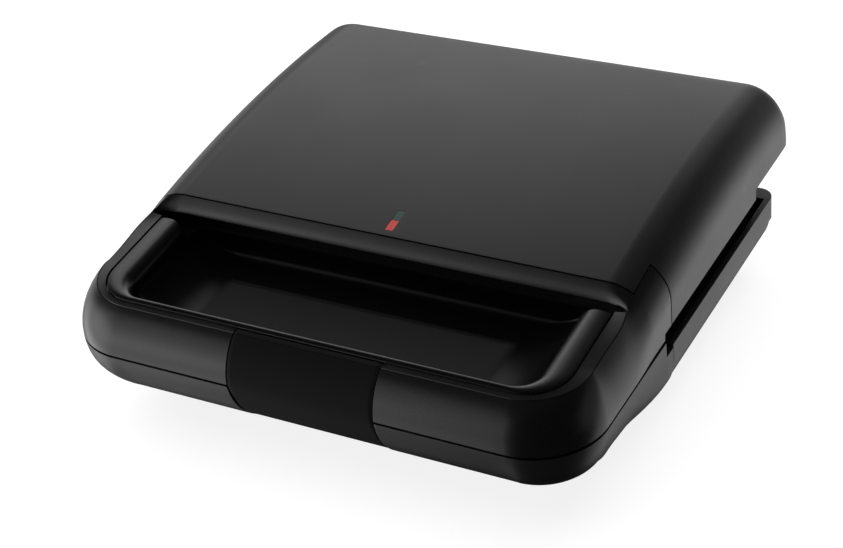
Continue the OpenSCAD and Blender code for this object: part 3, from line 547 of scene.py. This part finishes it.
LINER_LIP = [
    # x, front, corner radius, rear, height over the lip line, rear end of the lip
    (106.3, 13.5, 17.4, 77.4, -3.0, 69.0),
    (106.3, 13.5, 17.4, 77.4, -0.3, 69.0),
    (106.0, 13.7, 17.2, 77.2, 0.0, 69.0),
    (104.4, 14.3, 16.2, 76.9, 0.35, 69.0),
    (102.0, 14.9, 14.9, 76.6, 0.6, 69.0),
    (99.5, 15.6, 13.6, 76.4, 0.65, 68.8),
    (97.8, 16.2, 12.7, 76.3, 0.4, 68.4),
    (96.4, 16.7, 12.0, 76.2, -0.1, 67.8),
    (95.2, 17.2, 11.4, 76.1, -0.9, 67.2),
    (94.3, 17.7, 10.9, 76.0, -2.0, 66.6),
    (93.6, 18.2, 10.6, 75.9, -3.2, 66.0),
]
FLOOR_HALF, FLOOR_FRONT, FLOOR_REAR, FLOOR_R = 68.0, 27.0, 70.0, 9.0
FLOOR_GROOVES = 57.5, 58.9          # depths of two fine grooves across the floor
LIP_REAR_R = 4.0                    # radius of the rings' rear corners at the lip
FLOOR_END = 62.0                    # the lip's rear end, carried down to the floor
LINER_WALL = 1.8


def liner_rings():
    """Rings over the lip and then down the walls to the floor"""
    x, front, radius, rear, rise, lip_end = LINER_LIP[-1]
    rings = [(*row[:4], LIP_REAR_R, 0, *row[4:]) for row in LINER_LIP]
    for angle in steps(0, math.pi / 2, 12)[1:]:
        inward, down = 1 - math.cos(angle), math.sin(angle)
        rings.append((lerp(x, FLOOR_HALF, inward), lerp(front, FLOOR_FRONT, inward),
                      lerp(radius, FLOOR_R, inward), lerp(rear, FLOOR_REAR, inward ** 2),
                      lerp(LIP_REAR_R, FLOOR_R, inward), down, rise, lerp(lip_end, FLOOR_END, inward)))
    return rings


def liner_ring(x, front, radius, rear, rear_radius, down, extra, lip_end):
    """One closed ring of the liner; down runs from 0 at the lip's height to 1 at the floor"""
    middle_x, middle_d = x - radius, front + radius
    rear_d = max(rear - rear_radius, lip_end + 1.2)
    quarter = math.pi / 2
    half = [(t * middle_x, front) for t in steps(0, 1, 8)]
    half += [(middle_x + radius * math.sin(a), middle_d - radius * math.cos(a))
             for a in steps(0, quarter, 14)[1:]]
    half += [(x, d) for d in steps(middle_d, lip_end - 2.4, 6)[1:]]
    half += [(x, lip_end + step) for step in (-1.6, -0.9, -0.3, 0.2, 0.6, 1.0)]
    half += [(x - rear_radius * (1 - math.cos(a)), lerp(rear_d, rear, math.sin(a)))
             for a in steps(0, quarter, 6)]
    half += [(t * (x - rear_radius), rear) for t in steps(1, 0, 8)[1:]]
    ring = []
    for px, pd in half:
        lip = grip_rise(pd, SEAM_RISE, SEAM_FRONT) + extra
        sunk = smooth(lip_end - 1.6, lip_end + 1.0, pd)
        top = lerp(lip, min(lip, LINER_HIDDEN), sunk)
        ring.append((px, pd, lerp(top, FLOOR_RISE, down)))
    return ring + [(-px, pd, r) for px, pd, r in reversed(ring[1:-1])]


def make_liner():
    """The liner of the finger recess, from its lip to its floor with two fine grooves"""
    def level(vert):
        return abs(vert.co.z - at(0, 0, FLOOR_RISE).z) < 1e-6

    skin = Skin()
    rows = skin.sheet([[at(*p) for p in liner_ring(*row)] for row in liner_rings()], closed=True)
    skin.mesh.faces.new(rows[-1])
    for middle in FLOOR_GROOVES:
        for depth in (middle - 0.45, middle - 0.2, middle + 0.2, middle + 0.45):
            skin.mesh.faces.ensure_lookup_table()
            flat = [f for f in skin.mesh.faces if all(level(v) for v in f.verts)]
            parts = flat + list({e for f in flat for e in f.edges} | {v for f in flat for v in f.verts})
            bmesh.ops.bisect_plane(skin.mesh, geom=parts, plane_co=at(0, depth, 0), plane_no=(0, 1, 0))
        for vert in skin.mesh.verts:
            if level(vert) and abs(vert.co.y - at(0, middle, 0).y) < 0.25 * MM:
                vert.co.z -= 0.35 * MM
    liner = skin.piece("recess_liner_shell", lambda centre: Vector((0, 0, 1)))
    return shell(liner, LINER_WALL, 0.0)


# ---------- latch ----------

LATCH_BEVEL = 1.5                   # width of the soft bevel along its upright edges
LATCH_FALL = 0.35                   # depth of that bevel
LATCH_SINK = 0.45                   # its lower half lies this far behind the grip's face
LATCH_PROUD = 0.15                  # its upper half stands this far in front of it
LATCH_WALL = 2.6


def corner_rise(x, half, low, radius):
    """Height at x of a lower edge with round corners, from its half width, lowest height and radius"""
    over = max(0.0, abs(x) - half + radius)
    return low + radius - math.sqrt(max(0.0, radius ** 2 - over ** 2))


def latch_columns():
    """X of each column, closer together round the lower corners"""
    inner = LATCH_HALF - LATCH_CORNER
    xs = steps(0, LATCH_HALF - LATCH_BEVEL - 0.5, 10)[:-1] + [inner]
    return xs + [inner + LATCH_CORNER * math.sin(a) for a in steps(0, math.pi / 2, 6)[1:]]


def make_latch():
    """The latch: a curved plate over the front of both grips"""
    upper = list(reversed(latch_line(-LATCH_PROUD)))
    columns = []
    for x in latch_columns():
        low = corner_rise(x, LATCH_HALF, LATCH_LOW, LATCH_CORNER)
        lower = [(lower_depth(r) + LATCH_SINK * smooth(-1, -9, r), r) for r in steps(-1.0, low, 16)]
        fall = LATCH_FALL * smooth(LATCH_HALF - LATCH_BEVEL, LATCH_HALF, x)
        column = []
        for d, r in upper + lower:
            top = smooth(BROW_RISE - 4, BROW_RISE, r)
            column.append((x, d + fall * (1 - top), r - fall * top))
        columns.append(column)
    skin = Skin()
    skin.sheet(points(columns[:0:-1], -1) + points(columns))
    latch = skin.piece("latch_plate", away_from(0, 30, 5))
    return shell(latch, LATCH_WALL, 0.3)


# ---------- lower grip ----------

LOWER_FULL = 0.035                  # extra fullness of the lower front corners
FULL_TO = 25.0                      # it ends this far below the parting plane
HOUSING_R = 22.0                    # radius along the housing's lower sides
UNDER_HOUSING = SPLIT - node_box("lower_housing")[0].z
BASE_X, BASE_DEPTH = 83.0, 38.1     # where the front edge of the flat underside starts to turn
BASE_CORNER = 93.5, 42.0            # x and depth where the turn ends
BELLY_IN, BELLY_DEPTH = 22.5, 40.0  # inset of the underside from the sides, and where
BELLY_FRONT, BELLY_REAR = 0.6, 0.187          # how fast it shrinks before and behind that depth
CORNER_LOW = LATCH_LOW + LATCH_CORNER         # the latch's corners start here
LOWER_POCKET = 4.4                  # depth of the latch's pocket


def belly(depth):
    """Inset of the flat underside from the grip's sides"""
    return BELLY_IN - (depth - BELLY_DEPTH) * (BELLY_REAR if depth > BELLY_DEPTH else BELLY_FRONT)


def lower_grip_line():
    """Half line where the lower grip's face meets its flat underside"""
    line = [(lerp(LATCH_HALF + LATCH_GAP, BASE_X, t), BASE_DEPTH) for t in FRONTS]
    line += [(lerp(BASE_X + 1, BASE_CORNER[0], t), lerp(BASE_DEPTH, BASE_CORNER[1], t * t))
             for t in steps(0, 1, CORNERS)[1:]]
    first = BASE_CORNER[1] + 1
    return line + [(HALF_W - belly(max(d, first)), max(d, first + (d - SIDES[0]) * 0.3)) for d in SIDES]


def lower_share(rise):
    """How far the face has come from the parting line towards the underside, at that height"""
    return max(0.0, lower_depth(rise)) / BASE_DEPTH


def lower_top(depth):
    return -SPLIT_LINE if depth <= NOTCH_DEPTH else NOTCH_LOW


def housing_inset(rise):
    """How far the round lower side lies inside the full width at that height"""
    over = max(0.0, HOUSING_R - UNDER_HOUSING - rise)
    return HOUSING_R - math.sqrt(HOUSING_R ** 2 - min(over, HOUSING_R) ** 2)


def lower_columns():
    """Columns of the right half of the lower grip's face, down to its underside"""
    feet, unders = grip_line(0, 0, CORNER_R), lower_grip_line()
    columns = []
    for i, (foot, under) in enumerate(zip(feet, unders)):
        rises = steps(lower_top(foot[1]), CORNER_LOW, 16) + steps(CORNER_LOW, -UNDER, 8)[1:]
        turn = min(1.0, max(0.0, (i - len(FRONTS) + 1) / CORNERS))
        corner = math.sin(math.pi * turn) ** 0.5
        end = smooth(60, ARM_DEPTH, foot[1]) if foot[0] > HALF_W - 0.01 else 0
        column = []
        for rise in rises:
            share = lower_share(rise)
            share -= LOWER_FULL * corner * math.sin(math.pi * min(1.0, max(0.0, -rise / FULL_TO)))
            x = lerp(foot[0], under[0], share)
            x = lerp(x, HALF_W - housing_inset(rise), end)
            column.append((x, lerp(foot[1], under[1], share), rise))
        columns.append(column)
    return columns


def make_lower_handle():
    """The lower grip: outer face, latch pocket, underside and closing panel"""
    skin = Skin()
    columns = lower_columns()
    for side in (1, -1):
        skin.sheet(points(columns, side))
    start = LATCH_HALF + LATCH_GAP
    corner = LATCH_CORNER + LATCH_GAP
    bends = [start - corner + corner * math.sin(a) for a in steps(math.pi / 2, 0, 8)]
    xs = bends + steps(start - corner, -start + corner, 8)[1:] + [-x for x in reversed(bends[:-1])]
    tops = [corner_rise(x, start, LATCH_LOW - LATCH_GAP, corner) for x in xs]
    face, floor, back = [], [], []
    for x, top in zip(xs, tops):
        near, far = lower_depth(top), lower_depth(top) + LOWER_POCKET
        face.append([(x, lower_depth(r), r) for r in steps(top, -UNDER, 8)])
        floor.append([(x, near, top), (x, far, top)])
        back.append([(x, far, r) for r in steps(-SPLIT_LINE, top, 4)])
    for sheet in (face, floor, back):
        skin.sheet(points(sheet))
    rises = steps(-SPLIT_LINE, CORNER_LOW, 16)
    wall = [[(start, lower_depth(r), r) for r in rises],
            [(start, lower_depth(CORNER_LOW) + LOWER_POCKET, r) for r in rises]]
    for side in (1, -1):
        skin.sheet(points(wall, side))
    under = [c[-1] for c in columns]
    skin.cap([at(*p) for p in under] + [at(-x, d, r) for x, d, r in reversed(under)])
    grip = skin.piece("lower_skin", away_from(0, 50, -15))
    shell(grip, GRIP_WALL, 0.25)
    panel = plate("lower_panel", panel_outline(), [], -SPLIT_LINE - GRIP_WALL, -SPLIT_LINE - PANEL_SINK)
    return joined("lower_handle_shell", grip, panel)


# ---------- shader building ----------

class Value:
    """A shader socket with a number in it; arithmetic on it adds Math nodes"""

    def __init__(self, finish, socket):
        self.finish, self.socket = finish, socket

    def maths(self, operation, first, second):
        return self.finish.node("ShaderNodeMath", {"operation": operation}, {0: first, 1: second})

    def __add__(self, other):
        return self.maths("ADD", self, other)

    __radd__ = __add__

    def __sub__(self, other):
        return self.maths("SUBTRACT", self, other)

    def __rsub__(self, other):
        return self.maths("SUBTRACT", other, self)

    def __mul__(self, other):
        return self.maths("MULTIPLY", self, other)

    __rmul__ = __mul__

    def above(self, low, high):
        """0 below low, 1 over high, smooth between"""
        return self.finish.node("ShaderNodeMapRange", {"interpolation_type": "SMOOTHSTEP"},
                                {"Value": self, "From Min": low, "From Max": high})


class Tree:
    """A node tree of a material or the world"""

    def __init__(self, tree):
        self.tree = tree

    def node(self, kind, settings=None, inputs=None, output=0):
        """Adds a node: its settings first, then the values or links of its sockets"""
        node = self.tree.nodes.new(kind)
        for key, setting in (settings or {}).items():
            setattr(node, key, setting)
        for name, value in (inputs or {}).items():
            if isinstance(value, Value):
                self.tree.links.new(value.socket, node.inputs[name])
            else:
                node.inputs[name].default_value = value
        return Value(self, node.outputs[output])


class Finish(Tree):
    """A material round one Principled shader"""

    def __init__(self, name, **constants):
        self.material = bpy.data.materials.new(name)
        self.material.use_nodes = True
        super().__init__(self.material.node_tree)
        self.shader = self.tree.nodes["Principled BSDF"]
        for key, value in constants.items():
            self.shader.inputs[key.replace("_", " ")].default_value = value
        self.place = self.node("ShaderNodeTexCoord", output=3)

    def axis(self, index):
        """X, Y or Z of the point, in metres"""
        return self.node("ShaderNodeSeparateXYZ", {}, {0: self.place}, output=index)

    def feed(self, name, value):
        self.tree.links.new(value.socket, self.shader.inputs[name])

    def noise(self, size, detail=2.0, roughness=0.5):
        """Noise whose features are about that many millimetres across"""
        return self.node("ShaderNodeTexNoise", {"noise_dimensions": "3D"},
                         {"Vector": self.place, "Scale": 1 / (size * MM), "Detail": detail,
                          "Roughness": roughness})

    def cells(self, size):
        return self.node("ShaderNodeTexVoronoi", {"feature": "F1"},
                         {"Vector": self.place, "Scale": 1 / (size * MM), "Randomness": 1.0})

    def shade(self, dark, light, mask):
        """Feeds the base colour between two colours"""
        mix = self.node("ShaderNodeMix", {"data_type": "RGBA"},
                        {"Factor": mask, "A": (*dark, 1), "B": (*light, 1)}, output=2)
        self.feed("Base Color", mix)

    def relief(self, height, depth, edge=0.0):
        """Bump of that depth in millimetres, over softly rounded edges where edge is given"""
        inputs = {"Height": height, "Distance": depth * MM, "Strength": 1.0}
        if edge:
            inputs["Normal"] = self.node("ShaderNodeBevel", {"samples": 6}, {"Radius": edge * MM})
        self.feed("Normal", self.node("ShaderNodeBump", {}, inputs))


def moulded(name, tone, rough, grain=0.35, relief=0.012, edge=0.0, sheen=0.5, tint=(1.0, 1.0, 1.0)):
    """Satin moulded plastic: fine spark-eroded grain, faint flow clouds, polished and rubbed spots"""
    finish = Finish(name, IOR=1.5, Specular_IOR_Level=sheen)
    clouds = finish.noise(38, 3)
    grain_field = finish.noise(grain, 2, 0.6)
    pits = finish.cells(grain * 2.2)
    rub = finish.noise(9, 4, 0.65).above(0.56, 0.78)
    dark = tuple(tone * 0.85 * c for c in tint)
    light = tuple(tone * 1.2 * c for c in tint)
    finish.shade(dark, light, clouds * 0.7 + grain_field * 0.3)
    finish.feed("Roughness", rough + (clouds - 0.5) * 0.08 - rub * 0.05 + (grain_field - 0.5) * 0.06)
    finish.relief(grain_field * 0.7 + pits * 0.3, relief, edge)
    return finish.material


def recess():
    """The recess liner: polished walls painted nearly black as painted shade, round a rougher floor whose
    paler colour is painted light
    """
    finish = Finish("liner_plastic", IOR=1.5, Specular_IOR_Level=0.10, Coat_Roughness=0.3, Coat_IOR=1.5)
    across, depth, height = (finish.axis(i) for i in range(3))
    aside = across.maths("ABSOLUTE", across, 0)
    low, edge = (SPLIT + FLOOR_RISE) * MM, (FLOOR_HALF - 4) * MM
    floor = (1 - height.above(low + 0.3 * MM, low + 2 * MM)) * (1 - aside.above(edge, edge + 6 * MM))
    # painted shade: the floor's paler colour stops at the first groove, so the gutter under the bar keeps
    # the walls' darker colour, as shade falls there
    rear = (FRONT + FLOOR_GROOVES[0]) * MM
    floor = floor * (1 - depth.above(rear - 0.5 * MM, rear + 2 * MM))
    lip = height - depth * GRIP_SLOPE - (SPLIT + SEAM_RISE - GRIP_SLOPE * (FRONT + SEAM_FRONT)) * MM
    finish.feed("Coat Weight", lip.above(-6.5 * MM, -2.0 * MM) * 0.9)
    clouds = finish.noise(38, 3)
    grain = finish.noise(0.35, 2, 0.6)
    pits = finish.cells(0.8)
    # painted shade and painted light: walls and gutter get a colour far darker than the plastic, where
    # shade falls; the floor gets a paler one, as if lit from above
    walls, matte_floor_painted_light = (0.0012, 0.0012, 0.0012), (0.0105, 0.0105, 0.0108)
    finish.shade(walls, matte_floor_painted_light, floor * (0.85 + clouds * 0.2) + grain * 0.05)
    finish.feed("Roughness", 0.26 + floor * 0.36 + (clouds - 0.5) * 0.06 + (grain - 0.5) * 0.05)
    finish.relief(grain * 0.7 + pits * 0.3, 0.010)
    return finish.material


def coated():
    """Dark non-stick coating over cast aluminium, lightly speckled"""
    finish = Finish("plate_coating", IOR=1.45, Specular_IOR_Level=0.6)
    speck = finish.noise(0.9, 2).above(0.60, 0.70)
    clouds = finish.noise(22, 4)
    cast = finish.noise(1.4, 3)
    finish.shade((0.016, 0.016, 0.017), (0.060, 0.058, 0.056), speck * 0.5 + clouds * 0.22)
    finish.feed("Roughness", 0.36 + clouds * 0.1 - speck * 0.12)
    finish.relief(cast * 0.8 + speck * 0.2, 0.03, 0.5)
    return finish.material


def metal(name, tone, rough, brushed=0.0, heat=0.0):
    """Bare metal: fine scratches, cloudy patches and, where heat is given, a brownish tint"""
    finish = Finish(name, Metallic=1.0)
    clouds = finish.noise(7, 4)
    fine = finish.noise(0.35, 3)
    stain = finish.noise(14, 3).above(0.45, 0.75)
    warm = tuple(lerp(c, c * w, heat) for c, w in zip(tone, (0.75, 0.55, 0.42)))
    finish.shade(tone, warm, stain * 0.8 + clouds * 0.2)
    finish.feed("Roughness", rough + (clouds - 0.5) * 0.18 + (fine - 0.5) * (0.06 + brushed))
    finish.relief(fine * 0.6 + clouds * 0.4, 0.01, 0.2)
    return finish.material


def rubbery(name, tone):
    """Matte rubber with dust in its pores"""
    finish = Finish(name, IOR=1.5, Specular_IOR_Level=0.3)
    pores = finish.noise(0.8, 4)
    dust = finish.noise(6, 4).above(0.5, 0.75)
    finish.shade((tone,) * 3, (tone + 0.03,) * 3, dust * 0.6)
    finish.feed("Roughness", 0.72 + pores * 0.15)
    finish.relief(pores, 0.04, 0.4)
    return finish.material


def ceramic():
    """Unglazed steatite"""
    finish = Finish("ceramic", IOR=1.55, Specular_IOR_Level=0.4)
    chalk = finish.noise(1.2, 5)
    stain = finish.noise(8, 3).above(0.5, 0.8)
    finish.shade((0.62, 0.58, 0.50), (0.40, 0.33, 0.25), stain * 0.4 + chalk * 0.2)
    finish.feed("Roughness", 0.6 + chalk * 0.2)
    finish.relief(chalk, 0.03, 0.3)
    return finish.material


def laminate():
    """Circuit board: green lacquer over a faint glass weave"""
    finish = Finish("board_laminate", IOR=1.5)
    weave = finish.noise(0.7, 2)
    clouds = finish.noise(5, 2)
    finish.shade((0.010, 0.075, 0.030), (0.020, 0.12, 0.05), clouds * 0.6 + weave * 0.4)
    finish.feed("Roughness", 0.35 + weave * 0.1)
    finish.relief(weave, 0.008, 0.15)
    return finish.material


def lens(name, tone, glow):
    """Tinted translucent lens with a moulded frost inside"""
    finish = Finish(name, IOR=1.49, Transmission_Weight=0.25, Specular_IOR_Level=0.5,
                    Emission_Color=(*tone, 1), Emission_Strength=glow)
    frost = finish.noise(0.6, 3)
    clouds = finish.noise(2.5, 2)
    finish.shade(tuple(c * 0.8 for c in tone), tone, clouds)
    finish.feed("Roughness", 0.22 + frost * 0.12)
    finish.relief(frost, 0.01, 0.15)
    return finish.material


def glass():
    """Small neon lamp: clear glass with a smoky end"""
    finish = Finish("lamp_glass", IOR=1.5, Transmission_Weight=0.6)
    smoke = finish.noise(2, 3)
    finish.shade((0.75, 0.70, 0.62), (0.45, 0.40, 0.34), smoke)
    finish.feed("Roughness", 0.08 + smoke * 0.1)
    finish.relief(smoke, 0.005)
    return finish.material


# ---------- finishes by the record's slots ----------

BLACK = 0.0045


def make_finishes():
    return {
        "housing_plastic": moulded("housing_plastic", BLACK * 1.2, 0.40, edge=0.5),
        "grip_plastic": moulded("grip_plastic", BLACK * 0.8, 0.29),
        "cover_plastic": moulded("cover_plastic", BLACK * 1.1, 0.36, grain=0.45),
        "liner_plastic": recess(),
        "latch_plastic": moulded("latch_plastic", BLACK * 0.8, 0.60, grain=0.3, relief=0.02, sheen=0.08),
        "frame_plastic": moulded("frame_plastic", BLACK * 2.2, 0.52, relief=0.02, edge=0.4),
        "plate_coating": coated(),
        "heater_sheath": metal("heater_sheath", (0.32, 0.30, 0.27), 0.42, heat=0.8),
        "shield_sheet": metal("shield_sheet", (0.62, 0.61, 0.59), 0.30, brushed=0.08, heat=0.25),
        "screw_steel": metal("screw_steel", (0.55, 0.55, 0.54), 0.28),
        "pin_steel": metal("pin_steel", (0.60, 0.60, 0.60), 0.20, brushed=0.05),
        "foot_rubber": rubbery("foot_rubber", 0.018),
        "gland_rubber": rubbery("gland_rubber", 0.012),
        "terminal_plastic": moulded("terminal_plastic", 0.42, 0.42, edge=0.3, tint=(1.0, 0.98, 0.92)),
        "ceramic": ceramic(),
        "fuse_metal": metal("fuse_metal", (0.66, 0.65, 0.62), 0.25),
        "red_lens_plastic": lens("red_lens_plastic", (0.35, 0.022, 0.016), 0.35),
        "green_lens_plastic": lens("green_lens_plastic", (0.006, 0.030, 0.024), 0.0),
        "lamp_glass": glass(),
        "board_laminate": laminate(),
    }


# ---------- camera, floor and light ----------

def make_camera():
    """The photograph's viewpoint: turned and raised round the object, slightly rolled"""
    azimuth, elevation, roll = math.radians(31.18), math.radians(33.57), math.radians(-6.46)
    aside, above, away = 48.58, 51.31, 769.86     # from the grip's front line at the parting plane, mm
    focal, image_width, film = 1949.08, 843, 36.0
    level = Vector((math.cos(azimuth), math.sin(azimuth), 0))
    back = Vector((math.sin(azimuth) * math.cos(elevation), -math.cos(azimuth) * math.cos(elevation),
                   math.sin(elevation)))
    upright = back.cross(level)
    right = level * math.cos(roll) + upright * math.sin(roll)
    up = upright * math.cos(roll) - level * math.sin(roll)
    turned = Matrix((right, up, back)).transposed().to_4x4()
    turned.translation = (right * aside + up * above + back * away) * MM + at(0, 0, 0)
    camera = new_object("camera", bpy.data.cameras.new("camera"))
    camera.matrix_world = turned
    camera.data.lens = focal / image_width * film
    camera.data.sensor_width = film
    camera.data.clip_start = 0.01
    bpy.context.scene.camera = camera


FLOOR_SIZE = 12.0                   # metres


def make_floor():
    """A plain pale floor that the pieces do not mirror"""
    mesh = bmesh.new()
    bmesh.ops.create_grid(mesh, x_segments=8, y_segments=8, size=FLOOR_SIZE)
    floor = mesh_object("studio_floor", mesh)
    finish = Finish("studio_floor", Specular_IOR_Level=0.1, Base_Color=(0.25, 0.25, 0.25, 1), Roughness=0.8,
                    Emission_Color=(1, 1, 1, 1), Emission_Strength=0.85)
    floor.data.materials.append(finish.material)
    floor.visible_glossy = False


FAINT = 0.004                       # light from everywhere between the panels


def make_studio():
    """Soft light panels all round, where the camera sees white, and an even light from above"""
    world = bpy.data.worlds.new("studio")
    bpy.context.scene.world = world
    world.use_nodes = True
    tree = Tree(world.node_tree)
    background = world.node_tree.nodes["Background"]
    toward = tree.node("ShaderNodeTexCoord", output=0)
    panels = [
        # direction, inner and outer half angle in degrees, brightness
        ((-0.55, 0.62, 0.56), 3, 20, 1.3),        # high at the left rear
        ((-0.39, 0.87, 0.28), 3, 20, 1.2),        # lower, behind the lid's left half
        ((-0.05, 0.86, 0.50), 2, 16, 0.7),        # straight behind
        ((-0.89, 0.45, -0.08), 8, 32, 0.8),       # at the left
        ((-0.75, -0.05, -0.66), 8, 32, 0.6),      # low at the left
        ((-0.86, -0.45, -0.25), 30, 44, 1.5),     # large, at the left front
        ((-0.72, -0.66, 0.22), 20, 34, 0.95),     # its weaker end, higher and further to the front
        ((0.16, 0.98, -0.11), 14, 44, 0.5),       # large and weak, low behind
        ((0.94, 0.32, 0.07), 8, 32, 0.27),        # weak, at the right
        ((0.52, 0.68, -0.52), 12, 36, 0.75),      # low at the right rear
    ]
    light = FAINT
    for direction, inner, outer, strength in panels:
        direction = Vector(direction).normalized()
        cosine = tree.node("ShaderNodeVectorMath", {"operation": "DOT_PRODUCT"},
                           {0: toward, 1: direction}, output=1)
        glow = cosine.above(math.cos(math.radians(outer)), math.cos(math.radians(inner)))
        light = light + glow * strength
    seen = tree.node("ShaderNodeLightPath")
    shown = light * (1 - seen) + seen
    world.node_tree.links.new(shown.socket, background.inputs["Color"])

    sun = new_object("overhead", bpy.data.lights.new("overhead", "SUN"))
    sun.data.energy = 3.4
    sun.data.angle = math.radians(100)
    sun.rotation_euler = (math.radians(-18), math.radians(-20), 0)
    sun.visible_glossy = False
    view = bpy.context.scene.view_settings
    view.view_transform = "Standard"
    view.look = "None"


# ---------- assembly ----------

def finish_all(finishes):
    """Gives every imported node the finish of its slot"""
    slots = {}
    for part in frame["record"]["subparts"]:
        slots[part["node"]] = part["material_slot"]
    for name, obj in frame["nodes"].items():
        obj.data.materials.clear()
        obj.data.materials.append(finishes[slots[name]])
    return slots


def fit_piece(obj, node, body, slots, finishes):
    """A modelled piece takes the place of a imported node"""
    obj.data.materials.clear()
    obj.data.materials.append(finishes[slots[node]])
    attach(obj, body)
    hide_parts(node)


make_camera()
make_floor()
make_studio()
finishes = make_finishes()
slots = finish_all(finishes)
fit_piece(make_lid_cover(), "lid_cover", "lid", slots, finishes)
fit_piece(make_upper_handle(), "upper_handle", "lid", slots, finishes)
fit_piece(make_liner(), "handle_liner", "lid", slots, finishes)
fit_piece(make_latch(), "latch", "latch", slots, finishes)
fit_piece(make_lower_handle(), "lower_handle", "base", slots, finishes)
